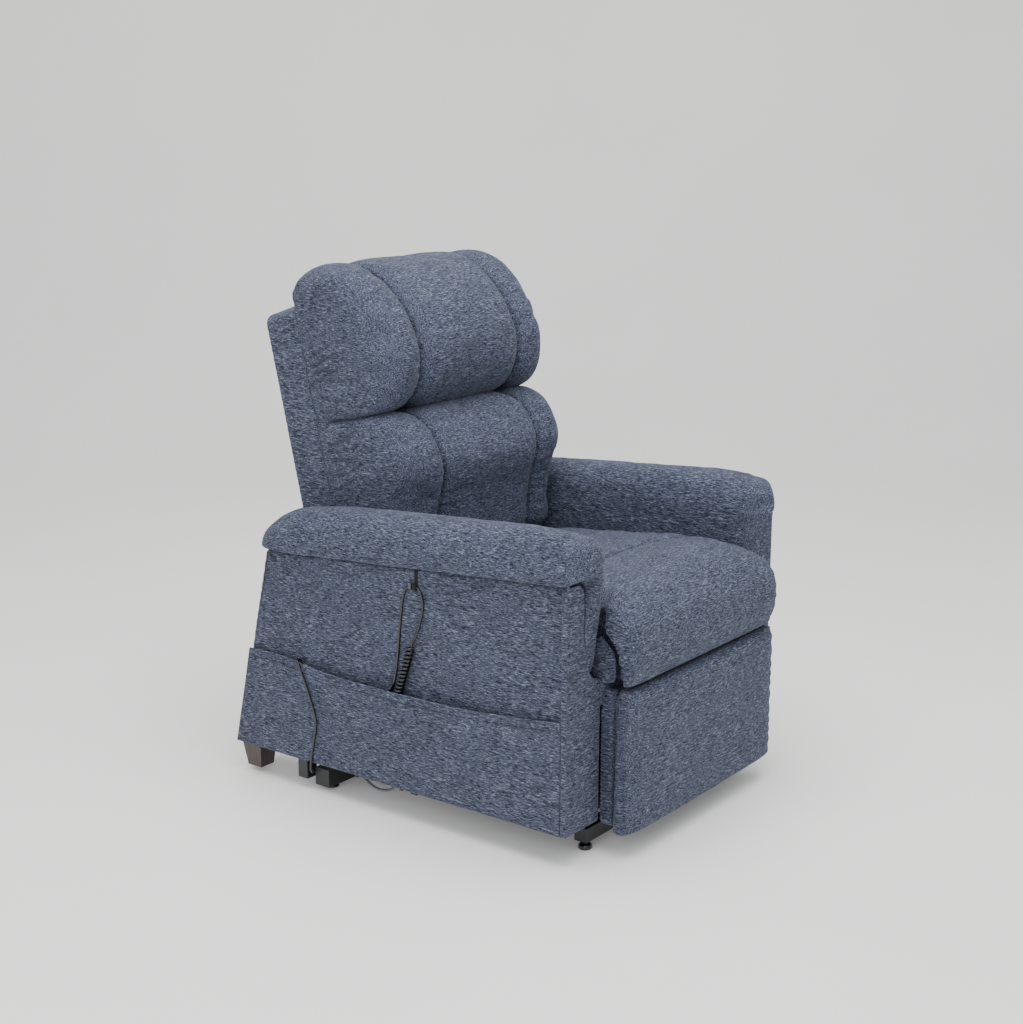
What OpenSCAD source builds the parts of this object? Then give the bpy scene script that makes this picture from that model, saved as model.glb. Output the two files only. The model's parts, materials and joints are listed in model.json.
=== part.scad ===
// Lift recliner chair: a floor base, a lift linkage that raises and tilts the
// whole seat, a reclining back and a scissor-driven footrest.
// Millimetres, +Z up, the sitter faces -Y, the sitter's left is +X.
// The modules draw in the chair's own frame, where y runs back from the front
// face of the arms; from_front() sets them about the middle of the footprint.

/* [Overall] */
// Width over both arms
overall_w = 800; // [760:5:860]
// Depth from the seat's nose to the arms' rear corners
overall_d = 1004; // [980:1:1030]
// How far the seat's nose stands ahead of the arms
seat_nose = 90; // [78:1:98]

/* [Arms] */
// Width of one arm
arm_w = 119; // [105:1:125]
// Height of the arm's bottom edge over the floor
arm_bottom = 69; // [64:1:80]
// Arm length along its bottom edge
arm_len = 904; // [880:1:904]
// Arm length at the seam under the pad
arm_seam_len = 800; // [780:1:820]
// Seam height at the arm's front
seam_front = 576; // [560:1:585]
// Seam height at the arm's rear
seam_rear = 525; // [510:1:535]
// Height of the pad's crown above the seam
pad_crown = 104; // [90:1:115]
// Height at which the arm steps to its full width
arm_step = 356; // [340:1:370]
// Thickness of the padded front facing
facing_t = 12; // [8:1:16]

/* [Pocket] */
// Height of the pocket's top edge
pocket_top = 290; // [270:1:300]
// Distance of the pocket's mouth from the arm's front
pocket_from = 148; // [120:1:180]
// Distance of the mouth's rear end from the arm's front
pocket_to = 850; // [800:1:855]
// Thickness of the pocket's cloth panel
pocket_t = 4; // [3:0.5:6]
// Depth of the pocket behind its panel
pocket_depth = 36; // [30:1:40]
// How far the mouth gapes at its slackest place
pocket_gape = 11; // [6:1:14]
// Set-back of the side above the pocket
side_setback = 12; // [8:1:14]

/* [Seat] */
// Gap between the seat cushion and each arm
seat_gap = 9; // [6:0.5:19]
// Height of the seat's crown
seat_crown = 536; // [520:1:542]
// Underside of the seat frame boards
frame_low = 318; // [316:1:322]
// Top of the seat frame boards
frame_high = 360; // [354:1:364]
// Thickness of the front and rear boards
board_t = 24; // [18:1:28]
// Diameter of the seat's spring wire
spring_wire = 4; // [3:0.5:5]
// Number of seat springs
spring_count = 6; // [4:1:8]

/* [Back] */
// Lean of the back from upright, degrees
back_lean = 13.3; // [10:0.1:16]
// Gap between the outer back and each arm
shell_gap = 8; // [6:0.5:19]
// Depth of the outer back's wings
shell_d = 92; // [84:1:100]
// Wall of the outer back
shell_wall = 13; // [9:1:16]
// How far the pillows stop short of the outer back's sides
pillow_inset = 3; // [1:0.5:18]
// Depth that the sewn channels draw in
channel_depth = 34; // [10:1:40]
// Channel seams, each side of the middle
channel_x = 165; // [120:1:175]
// Radius of the roll at the pillows' ends
end_roll = 58; // [44:1:70]
// How far the pillows' fronts swell past their rear edges
side_lap = 10; // [0:1:12]

/* [Footrest] */
// How far the front panel laps over each arm's front
footrest_lap = 7; // [0:0.5:11]
// Bottom edge of the front panel
footrest_low = 50; // [45:1:60]
// Top edge of the front panel
footrest_high = 350; // [340:1:352]
// Thickness of the front panel's pad
footrest_t = 46; // [30:1:50]
// Distance between the pivots of one scissor link
scissor_len = 220; // [205:1:225]
// Closed angle of the links to the line they extend along
scissor_closed = 80; // [78:0.5:82]
// Slope of that line above level
scissor_slope = 5; // [2:0.5:8]
// Width of the scissor links
scissor_w = 20; // [16:1:24]

/* [Base] */
// Size of the front tube and the rails
rail_size = 30; // [25:1:32]
// Size of the rear tube
rear_tube_size = 40; // [35:1:42]
// How far the front tube reaches under each arm
front_tube_lap = 16; // [4:1:19]
// Distance of the rear tube's end from the arm's outer face
rear_tube_inset = 25; // [22:1:50]
// Wall of the steel tubes
tube_wall = 2; // [1.5:0.5:3]
// Height of the front glides
glide_front = 20; // [16:1:24]
// Height of the rear glides
glide_rear = 10; // [8:1:14]

/* [Linkage] */
// Radius of the pivot pins
pin_r = 6; // [5:0.5:7]
// Radial play of a pin that runs in its bore
pin_play = 0.1; // [0.05:0.01:0.1]
// Thickness of the lift links
link_t = 6; // [5:0.5:6]
// Thickness of the bracket and side plates
plate_t = 5; // [4:0.5:5]
// Radius of the actuators' tubes
tube_r = 16; // [14:1:18]
// Radius of the actuators' rods
rod_r = 10; // [8:0.5:11]

/* [Hand control] */
// Width of the hand control
handset_w = 50; // [45:1:56]
// Height of the hand control
handset_h = 146; // [130:1:150]
// Thickness of the hand control
handset_t = 21; // [18:1:23]
// Radius of each button
button_r = 6; // [5:0.5:7]
// Diameter of the hand control's cord
cord_d = 5.5; // [5:0.1:6]
// Outer diameter of the cord's curls
curl_d = 19; // [17:0.5:21]
// Number of curls
curls = 15; // [12:1:18]

/* [Hidden] */
$fn = 48;
hull_fn = 32;

front = -overall_d / 2 + seat_nose;
arm_out = overall_w / 2;
arm_in = arm_out - arm_w;
seat_half = arm_in - seat_gap;
shell_half = arm_in - shell_gap;
pillow_half = shell_half - pillow_inset;
footrest_half = arm_in + footrest_lap;
front_tube_half = arm_in + front_tube_lap;
rear_tube_half = arm_out - rear_tube_inset;

// Pivots as [y, z], y from the arms' front face.
link_front_foot = [78, 90];
link_front_top = [298, 134];
link_rear_foot = [144, 100];
link_rear_top = [525, 167];
torque_at = [204, 110.5];
drive_pin = [180, 195];
lift_eye = [600, 80];
back_pivot = [630, 395];
back_eye = [190, 240];
back_drive = [650, 300];
foot_shaft = [86.4, 296];

// Distances of the plates' inner faces from the chair's middle plane, stacked inwards from the arm.
scissor_t = 4;
arm_clearance = 22;
x_guide = arm_in - arm_clearance - scissor_t;
x_bracket = x_guide - scissor_t - 1.5;
x_scissor_b = x_bracket - scissor_t - 1;
x_scissor_a = x_scissor_b - scissor_t - 1;
x_front_link = x_scissor_a - link_t - 1.5;
x_plate = x_front_link - plate_t - 1;
x_rear_link = x_plate - link_t - 1;
// Outer faces of the back's wooden stiles, with the brackets on them.
stile_clearance = 10;
stile_out = shell_half - shell_wall - stile_clearance;
stile_w = 28;
bracket_t = 4.2;

// Scissor geometry: the unit vectors along and down across the extension line.
ext_dir = [-cos(scissor_slope), sin(scissor_slope)];
down_dir = [-sin(scissor_slope), -cos(scissor_slope)];
step_closed = scissor_len * cos(scissor_closed);
drop_closed = scissor_len * sin(scissor_closed);
s_t0 = foot_shaft;
s_u0 = s_t0 + drop_closed * down_dir;
s_t1 = s_t0 + step_closed * ext_dir;
s_u1 = s_u0 + step_closed * ext_dir;
s_t2 = s_t1 + step_closed * ext_dir;
s_c1 = (s_t0 + s_u1) / 2;
s_c2 = (s_t1 + (s_u1 + step_closed * ext_dir)) / 2;
open_angle = 24;
s_u0_open = s_t0 + scissor_len * sin(open_angle) * down_dir;

rear_tube_y = 664;
front_tube_y = 32;
rail_x = x_plate + 4;
rail_low = glide_front;
rail_high = glide_front + rail_size;

// ---------------------------------------------------------------- helpers
module from_front() { translate([0, front, 0]) children(); }
module both_sides() { children(); mirror([1, 0, 0]) children(); }
// A flat profile in the y-z plane, from x on outwards for a thickness.
module plate(x, t) { translate([x, 0, 0]) rotate([90, 0, 90]) linear_extrude(t) children(); }
// A round bar across the chair, from x to x + l, about the point p = [y, z].
module bar(p, x, l, r) { translate([x, p[0], p[1]]) rotate([0, 90, 0]) cylinder(h = l, r = r); }
// The flat outline of a link between two pivots: eyes of width w on a slightly narrower bar.
module link_outline(a, b, w) {
    d = b - a;
    translate(a) circle(d = w);
    translate(b) circle(d = w);
    translate(a) rotate(atan2(d[1], d[0])) translate([0, -w * 0.44]) square([norm(d), w * 0.88]);
}
// A square-ended slot of width w whose pin travels from a to b.
module slot_outline(a, b, w) {
    d = b - a;
    translate(a) rotate(atan2(d[1], d[0])) translate([-w / 2, -w / 2]) square([norm(d) + w, w]);
}
module hole(p, r) { translate(p) circle(r = r); }
// A square tube along x, y or z by rotation of its children.
module square_tube(l, s, wall) {
    difference() {
        translate([-l / 2, -s / 2, -s / 2]) cube([l, s, s]);
        translate([-l / 2 - 1, -s / 2 + wall, -s / 2 + wall]) cube([l + 2, s - 2 * wall, s - 2 * wall]);
    }
}
// Places children so that their z runs up the back and -y runs forward from it.
module on_back() { translate([0, 804, 594]) rotate([-back_lean, 0, 0]) children(); }
function to_back(p) = let (d = [p[0] - 804, p[1] - 594])
    [d[0] * cos(back_lean) - d[1] * sin(back_lean),
     d[0] * sin(back_lean) + d[1] * cos(back_lean)];

// One point of a Catmull-Rom curve, and a closed curve through all points.
function curve_at(a, b, c, d, t) = 0.5 * (2 * b + (c - a) * t
    + (2 * a - 5 * b + 4 * c - d) * t * t + (3 * b - a - 3 * c + d) * t * t * t);
function closed_curve(p, k) = let (n = len(p))
    [for (i = [0 : n - 1], j = [0 : k - 1])
        curve_at(p[(i + n - 1) % n], p[i], p[(i + 1) % n], p[(i + 2) % n], j / k)];
function open_curve(p, k) = let (n = len(p)) concat(
    [for (i = [0 : n - 2], j = [0 : k - 1])
        curve_at(p[max(i - 1, 0)], p[i], p[i + 1], p[min(i + 2, n - 1)], j / k)], [p[n - 1]]);
function mean(p) = [for (k = [0 : len(p[0]) - 1]) sum([for (q = p) q[k]]) / len(p)];
function sum(v, i = 0) = i == len(v) ? 0 : v[i] + sum(v, i + 1);

// A closed skin over rings of equal length, its ends fanned about a middle point.
module skin(rings, start, end) {
    n = len(rings[0]);
    m = len(rings);
    points = concat([for (r = rings) each r], [start, end]);
    polyhedron(points, concat(
        [for (i = [0 : m - 2], j = [0 : n - 1])
            [i * n + j, i * n + (j + 1) % n, (i + 1) * n + (j + 1) % n]],
        [for (i = [0 : m - 2], j = [0 : n - 1])
            [i * n + j, (i + 1) * n + (j + 1) % n, (i + 1) * n + j]],
        [for (j = [0 : n - 1]) [(j + 1) % n, j, m * n]],
        [for (j = [0 : n - 1]) [(m - 1) * n + j, (m - 1) * n + (j + 1) % n, m * n + 1]]));
}

// ---------------------------------------------------------------- base
module base_front_tube() {
    color("#1b1c1e") translate([0, front_tube_y, rail_low + rail_size / 2])
        square_tube(2 * front_tube_half, rail_size, tube_wall);
}

module base_rear_tube() {
    color("#1b1c1e") translate([0, rear_tube_y, glide_rear + rear_tube_size / 2])
        square_tube(2 * rear_tube_half, rear_tube_size, tube_wall);
}

module base_rails() {
    y0 = front_tube_y + rail_size / 2;
    y1 = rear_tube_y - rear_tube_size / 2;
    color("#1b1c1e") both_sides()
        translate([rail_x, (y0 + y1) / 2, rail_low + rail_size / 2])
            rotate([0, 0, 90]) square_tube(y1 - y0, rail_size, tube_wall);
}

// One moulded plug for a tube of size s, its head at the tube's end.
module end_cap(s) {
    translate([0, -s / 2, -s / 2]) cube([2.5, s, s]);
    translate([-14, -s / 2 + tube_wall, -s / 2 + tube_wall]) cube([14, s - 2 * tube_wall, s - 2 * tube_wall]);
}

module tube_end_caps() {
    color("#0f0f10") both_sides() {
        translate([front_tube_half, front_tube_y, rail_low + rail_size / 2]) end_cap(rail_size);
        translate([rear_tube_half, rear_tube_y, glide_rear + rear_tube_size / 2]) end_cap(rear_tube_size);
    }
}

// A domed glide with a flat foot on the floor, under a tube whose underside is at height h.
module glide(h, r) {
    dome = 0.65 * h;
    rotate_extrude() polygon(concat([[0, 0], [r - 2, 0]],
        [for (a = [0 : 15 : 90]) [r - dome * 0.6 * (1 - cos(a)), dome * 0.25 + dome * 0.75 * sin(a)]],
        [[5, dome], [5, h], [0, h]]));
}

module levelling_glides() {
    color("#141416") both_sides() {
        translate([front_tube_half - 15, front_tube_y, 0]) glide(glide_front, 15);
        translate([rear_tube_half - 30, rear_tube_y, 0]) glide(glide_rear, 15);
    }
}

module link_brackets() {
    color("#202124") both_sides() plate(x_plate, plate_t) difference() {
        union() {
            polygon([[52, rail_high], [176, rail_high], [link_rear_foot[0] + 14, 100],
                     [link_rear_foot[0], 114], [78, 104], [64, 92]]);
            hole(link_rear_foot, 14);
            hole(link_front_foot, 14);
        }
        hole(link_rear_foot, pin_r);
        hole(link_front_foot, pin_r);
    }
}

module base_pivot_pins() {
    color("silver") both_sides() {
        bar(link_rear_foot, x_rear_link, x_plate + plate_t - x_rear_link, pin_r);
        bar(link_front_foot, x_plate, x_front_link + link_t - x_plate, pin_r);
    }
}

module lift_motor_mount() {
    face = rear_tube_y - rear_tube_size / 2;
    color("#202124") both_sides() plate(13, 4) difference() {
        polygon([[face, 14], [face, 48], [lift_eye[0] + 4, lift_eye[1] + 14],
                 [lift_eye[0] - 12, lift_eye[1] + 8], [lift_eye[0] - 12, lift_eye[1] - 10]]);
        hole(lift_eye, pin_r);
    }
    color("silver") bar(lift_eye, -17, 34, pin_r);
}

transformer_at = [150, rear_tube_y, glide_rear + rear_tube_size];
module transformer_box() {
    color("#26272a") translate(transformer_at) {
        translate([-62, -32, 0]) cube([124, 64, 38]);
        translate([-74, -14, 0]) cube([148, 28, 4]);
    }
}

module mains_inlet() {
    color("#0c0c0d") translate(transformer_at + [62, 0, 19]) difference() {
        translate([0, -14, -10]) cube([9, 28, 20]);
        translate([2, -11, -7]) cube([8, 22, 14]);
    }
}

// ---------------------------------------------------------------- lift linkage
module rear_lift_links() {
    color("#2a2b2e") both_sides() plate(x_rear_link, link_t) difference() {
        link_outline(link_rear_foot, link_rear_top, 30);
        hole(link_rear_foot, pin_r + pin_play);
        hole(link_rear_top, pin_r + pin_play);
    }
}

module lift_torque_tube() {
    color("#2a2b2e") {
        bar(torque_at, -x_rear_link, 2 * x_rear_link, 12.5);
        both_sides() plate(14, 6) difference() {
            union() {
                link_outline(torque_at, drive_pin, 30);
                hole(torque_at, 20);
            }
            hole(drive_pin, 5);
        }
        bar(drive_pin, -20, 40, 5);
    }
}

// The pivot at its upper end is open: the bore leaves room for the true path.
open_play = 1.9;
module front_lift_links() {
    color("#2a2b2e") both_sides() plate(x_front_link, link_t) difference() {
        link_outline(link_front_foot, link_front_top, 28);
        hole(link_front_foot, pin_r + pin_play);
        hole(link_front_top, pin_r + open_play);
    }
}

// ---------------------------------------------------------------- actuators
// Children run along +x from the eye at p towards q.
module along(p, q, x = 0) {
    d = q - p;
    translate([x, p[0], p[1]]) rotate([0, 0, 90]) rotate([0, -atan2(d[1], d[0]), 0]) children();
}

// Gearbox with its motor beside it; the eye's bore of radius eye_r lies at the origin.
module actuator_body(eye_r) {
    difference() {
        union() {
            rotate([90, 0, 0]) translate([0, 0, -12]) cylinder(h = 24, r = eye_r + 6);
            translate([0, -12, -9]) cube([22, 24, 18]);
            translate([20, -22, -22]) cube([62, 44, 44]);
            translate([30, 20, -20]) cube([44, 44, 40]);
            translate([74, 43, 0]) rotate([0, 90, 0]) cylinder(h = 108, r = 20);
        }
        rotate([90, 0, 0]) translate([0, 0, -13]) cylinder(h = 26, r = eye_r);
    }
}

module actuator_tube(from, to) {
    difference() {
        translate([from, 0, 0]) rotate([0, 90, 0]) cylinder(h = to - from, r = tube_r);
        translate([from + 12, 0, 0]) rotate([0, 90, 0]) cylinder(h = to - from, r = rod_r + 0.15);
    }
}

// A rod that ends in an eye about the far pivot, with the bore set off to clear the pivot's arc.
module actuator_rod(reach, length, eye_r, eye_out, offset) {
    difference() {
        union() {
            translate([reach - length, 0, 0]) rotate([0, 90, 0]) cylinder(h = length - eye_out, r = rod_r);
            translate([reach - eye_out - 12, -9, -rod_r]) cube([16, 18, 2 * rod_r]);
            translate([reach, 10, offset]) rotate([90, 0, 0]) cylinder(h = 20, r = eye_out);
        }
        translate([reach, 11, offset]) rotate([90, 0, 0]) cylinder(h = 22, r = eye_r);
    }
}

lift_reach = norm(drive_pin - lift_eye);
back_reach = norm(back_drive - back_eye);
module lift_motor() { color("#17181a") along(lift_eye, drive_pin) actuator_body(pin_r + pin_play); }
module lift_motor_tube() { color("#b9bcc0") along(lift_eye, drive_pin) actuator_tube(82, 330); }
module lift_rod() {
    color("#d3d6da") along(lift_eye, drive_pin) actuator_rod(lift_reach, 250, 9.4, 15, -3.9);
}

back_motor_x = 110;
module back_motor() {
    color("#17181a") along(back_eye, back_drive, back_motor_x) {
        actuator_body(12.5 + pin_play);
        actuator_tube(82, 330);
    }
}
module back_rod() {
    color("#d3d6da") along(back_eye, back_drive, back_motor_x) actuator_rod(back_reach, 270, 12.6, 18, -2.2);
}

// ---------------------------------------------------------------- seat frame
module mechanism_plates() {
    color("#232427") both_sides() plate(x_plate, plate_t) difference() {
        polygon([[60, 282], [60, frame_high - 6], [frame_rear_y - 1, frame_high - 6],
                 [frame_rear_y - 1, frame_low - 2], [563, 290], [548, 152], [525, 146], [500, 150], [330, 118],
                 [298, 112], [275, 118], [232, 214], [190, 222], [168, 232], [120, 276]]);
        hole(foot_shaft, 9 + pin_play);
        hole(back_eye, 12.5);
        hole(link_front_top, pin_r);
        hole(link_rear_top, pin_r);
    }
}

module chair_pivot_pins() {
    color("silver") both_sides() {
        bar(link_rear_top, x_rear_link, x_plate + plate_t - x_rear_link, pin_r);
        bar(link_front_top, x_plate, x_front_link + link_t - x_plate, pin_r);
    }
}

module chair_cross_tube() {
    color("#232427") bar(back_eye, -x_plate - plate_t, 2 * (x_plate + plate_t), 12.5);
}

frame_rear_y = 545;
module seat_frame_ends() {
    color("#c49a6c") {
        translate([-arm_in, 0, frame_low]) cube([2 * arm_in, board_t, frame_high - frame_low]);
        // The rear board is notched for the back's hinge plates.
        difference() {
            translate([-arm_in, frame_rear_y, frame_low])
                cube([2 * arm_in, board_t, frame_high - frame_low]);
            both_sides() translate([x_guide - 0.2, frame_rear_y - 1, frame_low - 1])
                cube([scissor_t + 0.4, board_t + 2, frame_high - frame_low + 2]);
        }
    }
}

module seat_frame_sides() {
    color("#c49a6c") both_sides() translate([x_plate + plate_t, board_t, frame_low])
        cube([x_guide - x_plate - plate_t, frame_rear_y - board_t, frame_high - frame_low]);
}

// Sinuous springs that run from the front board to the rear one.
module seat_springs() {
    y0 = board_t / 2;
    y1 = frame_rear_y + board_t / 2;
    waves = 22;
    swing = 19;
    reach = x_plate - swing - 17;
    line = [for (i = [0 : waves]) [swing * (i % 2 == 0 ? -1 : 1), y0 + (y1 - y0) * i / waves]];
    color("#8d9093") for (k = [0 : spring_count - 1])
        translate([reach * (2 * k / (spring_count - 1) - 1), 0, frame_high]) linear_extrude(spring_wire)
            polygon(concat([for (p = line) p - [spring_wire, 0]],
                           [for (i = [waves : -1 : 0]) line[i] + [spring_wire, 0]]));
}

module seat_cushion() {
    low = frame_high + spring_wire + 0.3;
    nose = -seat_nose;
    rear = frame_rear_y - 37;
    under = frame_high - 2;
    middle = [[nose + 22, under + 1], [nose + 7, under + 27], [nose, seat_crown - 103],
              [nose + 8, seat_crown - 62], [nose / 2, seat_crown - 23], [20, seat_crown - 4],
              [90, seat_crown], [150, seat_crown - 2],
              [215, seat_crown - 12], [300, seat_crown - 20], [rear - 88, seat_crown - 30],
              [rear - 18, seat_crown - 42], [rear, seat_crown - 74], [rear - 4, low + 12], [rear - 28, low],
              [200, low], [-2, low], [-20, under]];
    side_low = seat_crown - 108;
    side = [for (p = middle) [p[0] < 0 ? p[0] * 0.8 : p[0] - (p[0] > rear - 58 ? 6 : 0),
                              p[1] > side_low ? side_low + (p[1] - side_low) * 0.88 : p[1]]];
    at = [-1, -0.97, -0.88, -0.7, -0.4, 0, 0.4, 0.7, 0.88, 0.97, 1];
    rings = [for (u = at) let (e = pow(1 - pow(abs(u), 5), 0.5), k = abs(u) == 1 ? 0.9 : 1,
                               r = closed_curve(side + (middle - side) * e, 2), c = mean(r))
        [for (p = r) let (q = c + (p - c) * k) [u * seat_half, q[0], max(q[1], p[0] > -2 ? low : under)]]];
    color("#4a5468") skin(rings, mean(rings[0]), mean(rings[len(rings) - 1]));
}

module scissor_guide_plates() {
    color("#2a2b2e") both_sides() plate(x_guide, scissor_t) difference() {
        polygon([[52, s_u0[1] - 14], [96, s_u0[1] - 14], [112, 330], [112, frame_high - 4],
                 [40, frame_high - 4], [40, 300]]);
        slot_outline(s_u0, s_u0_open, 2 * (guide_pin_r + 0.3));
        hole(foot_shaft, 12);
    }
}

module back_hinge_plates() {
    color("#2a2b2e") both_sides() {
        plate(x_guide, scissor_t) polygon([
            [470, frame_low + 4], [frame_rear_y, frame_low + 4], [636, 378], [644, 395], [636, 408], [622, 409],
            [600, 396], [520, 363], [470, frame_high - 4]]);
        bar(back_pivot, stile_out - 0.4, x_guide + scissor_t - stile_out + 0.4, pin_r);
    }
}

// ---------------------------------------------------------------- arms
function seam_at(y) = seam_front + (seam_rear - seam_front) * y / arm_seam_len;
function rear_at(z) = arm_len + (arm_seam_len - arm_len) * (z - arm_bottom) / (seam_rear - arm_bottom);
inner_upper = arm_in + 32;

// The upholstered arm body, from the facing back to the slanting rear edge.
module arm_body(face) {
    y0 = facing_t;
    plate(arm_in, face - arm_in)
        polygon([[y0, arm_bottom], [arm_len, arm_bottom], [rear_at(arm_step), arm_step], [y0, arm_step]]);
    plate(inner_upper, face - inner_upper)
        polygon([[y0, arm_step - 1], [rear_at(arm_step) - 0.2, arm_step - 1], [arm_seam_len, seam_rear],
                 [y0, seam_at(y0)]]);
}

module arm_left() { color("#4a5468") arm_body(arm_out); }

// On the pocket's side the outer face is set back and hollowed behind the panel.
side_x = arm_out - side_setback;
module arm_right() {
    color("#4a5468") mirror([1, 0, 0]) difference() {
        arm_body(side_x);
        translate([arm_out - pocket_depth, pocket_from + 10, arm_bottom + 24])
            cube([pocket_depth, pocket_to - pocket_from - 20, pocket_top - arm_bottom - 28]);
    }
}

// The padded front facing, narrow above and full width below the step.
module arm_facing() {
    narrow = 59;
    top = seam_at(facing_t) - 0.2;
    translate([0, facing_t, 0]) rotate([90, 0, 0]) linear_extrude(facing_t) polygon([
        [arm_in + 4, arm_bottom], [arm_out, arm_bottom], [arm_out, top], [arm_out - narrow + 14, top],
        [arm_out - narrow, top - 21], [arm_out - narrow + 2, 470], [arm_out - narrow - 18, 390],
        [arm_out - narrow - 28, 374], [arm_in + 8, arm_step], [arm_in + 2, arm_step - 12]]);
}
module arm_facing_left() { color("#4a5468") arm_facing(); }
module arm_facing_right() { color("#4a5468") mirror([1, 0, 0]) arm_facing(); }

// The pad over the arm: arched along its top, rolled over the inner side and the front. Each station gives
// y, the height of its crown and the spread of its section, as shares of the full pad.
module arm_pad() {
    rear = arm_seam_len;
    stations = [[-31, 0.3, 0.52], [-28, 0.5, 0.74], [-20, 0.67, 0.88], [-6, 0.78, 0.96], [16, 0.86, 1],
                [52, 0.93, 1], [110, 0.99, 1], [180, 1, 1], [420, 1.01, 1], [560, 1, 1], [640, 0.97, 1],
                [rear - 72, 0.88, 1], [rear - 34, 0.78, 0.98], [rear - 6, 0.62, 0.92], [rear + 10, 0.46, 0.8],
                [rear + 18, 0.28, 0.56]];
    function crown(s) = seam_at(max(s[0], 0)) + 46 * s[1];
    rings = [for (s = stations) let (y = s[0], h = s[1], k = s[2], z = seam_at(max(y, 0)),
            c = [inner_upper + 20, crown(s)], tip = y < 14 ? 404 : 396,
            outline = [[arm_out + 2, z + 1], [arm_out + 5, z + 34 * h], [arm_out - 5, z + pad_crown * 0.74 * h],
                       [arm_out - 30, z + pad_crown * 0.96 * h], [arm_out - 58, z + pad_crown * h],
                       [arm_in + 30, z + pad_crown * 0.95 * h], [arm_in + 9, z + pad_crown * 0.74 * h],
                       [arm_in + 1, z + 34 * h], [arm_in + 0.5, z - 30], [arm_in + 9, (z + tip) / 2 - 10],
                       [inner_upper - 10, tip],
                       [inner_upper, tip + 4], [inner_upper, z - 40], [inner_upper, z + 1],
                       [inner_upper + 30, z + 1], [arm_out - 12, z + 1]])
        [for (p = outline) let (x = c[0] + (p[0] - c[0]) * k)
            [p[0] <= inner_upper ? min(x, inner_upper) : x, y,
             max(tip, p[1] > c[1] ? p[1] : c[1] + (p[1] - c[1]) * k)]]];
    first = stations[0];
    last = stations[len(stations) - 1];
    skin(rings, [inner_upper + 12, first[0], crown(first)], [inner_upper + 12, last[0], crown(last)]);
}
module arm_pad_left() { color("#4a5468") arm_pad(); }
module arm_pad_right() { color("#4a5468") mirror([1, 0, 0]) arm_pad(); }

// The pocket: filled ends and hem, and between them a panel that is slack at its mouth.
function pocket_slack(y) = y <= pocket_from || y >= pocket_to ? 0
    : sin(180 * pow((y - pocket_from) / (pocket_to - pocket_from), 0.75));
module side_pocket() {
    low = arm_bottom + 5;
    drop = 8;
    color("#4a5468") {
        mirror([1, 0, 0]) plate(side_x, side_setback) {
            polygon([[facing_t, low], [pocket_from, low], [pocket_from, pocket_top],
                     [facing_t, pocket_top + 16]]);
            polygon([[pocket_to, low], [rear_at(low), low], [rear_at(pocket_top + 6), pocket_top + 6],
                     [pocket_to, pocket_top]]);
            translate([facing_t, arm_bottom]) square([rear_at(low) - facing_t, low - arm_bottom]);
        }
        rings = [for (k = [0 : 14]) let (y = pocket_from - 1 + (pocket_to - pocket_from + 2) * k / 14,
                s = pocket_slack(y), top = pocket_top - drop * s)
            concat([for (v = [0, 0.35, 0.7, 1]) [-arm_out - pocket_gape * s * pow(v, 1.6) + pocket_t, y,
                                                 low + (top - low) * v]],
                   [for (v = [1, 0.7, 0.35, 0]) [-arm_out - pocket_gape * s * pow(v, 1.6), y,
                                                 low + (top - low) * v]])];
        skin(rings, mean(rings[0]), mean(rings[len(rings) - 1]));
    }
}

module rear_legs() {
    color("#2b1a14") both_sides() hull() {
        translate([arm_out - 62, arm_len - 66, arm_bottom - 2]) cube([52, 56, 2]);
        translate([arm_out - 56, arm_len - 60, 12]) cube([40, 40, 2]);
    }
}

// ---------------------------------------------------------------- cord and harness fittings
side_face = -side_x;
tab_y = 376;
tab_w = 8;
loop_z = 509.2;
module hanging_tab() {
    color("#111113") {
        translate([side_face - 2.4, tab_y, loop_z + 9])
            cube([2.4, tab_w, seam_at(tab_y + tab_w) - loop_z - 9]);
        translate([side_face - 9.5, tab_y, loop_z - 2]) difference() {
            cube([9.5, tab_w, 13]);
            translate([1.4, -1, 1.6]) cube([6.8, tab_w + 2, 9.6]);
        }
    }
}

module tab_clip() {
    color("#9a978c") difference() {
        translate([side_face - 9, 389, loop_z - 1]) cube([8.6, 7, 12]);
        translate([side_face - 4.7, 388, loop_z + 4.3]) rotate([-90, 0, 0]) cylinder(h = 9, r = 3.7);
    }
}

box_at = [-arm_out + 8, 694, 24];
module connector_box() {
    color("#1d1e20") translate(box_at) {
        cube([30, 27, arm_bottom - box_at[2]]);
        translate([8, 6, -3]) cube([14, 15, 3]);
    }
}

harness_x = -arm_out + 30;
harness_d = 6;
harness_z = 61;
clip_y = [566, 440];
module cable_clips() {
    color("#0d0d0e") translate([harness_x, 0, 0]) {
        for (y = clip_y) difference() {
            translate([-6, y - 4, 54]) cube([12, 8, arm_bottom - 54]);
            translate([0, y - 5, harness_z]) rotate([-90, 0, 0]) cylinder(h = 10, r = harness_d / 2 + 0.4);
        }
        translate([-7, 396, 54]) cube([14, 16, arm_bottom - 54]);
    }
}

// A round tube of n sides swept along a path, its rings square to the path.
function unit(v) = v / norm(v);
function path_dir(p, i) = unit(p[min(i + 1, len(p) - 1)] - p[max(i - 1, 0)]);
function side_dir(d, ref) = unit(ref - d * (ref * d));
function frames(p, i = 0, ref = [1, 0, 0.02], out = []) = i == len(p) ? out
    : let (s = side_dir(path_dir(p, i), ref)) frames(p, i + 1, s, concat(out, [s]));
module tube(p, d, n) {
    f = frames(p);
    rings = [for (i = [0 : len(p) - 1]) let (a = f[i], b = cross(path_dir(p, i), a))
        [for (k = [0 : n - 1]) p[i] + d / 2 * (a * cos(-360 * k / n) + b * sin(-360 * k / n))]];
    skin(rings, p[0], p[len(p) - 1]);
}

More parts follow.
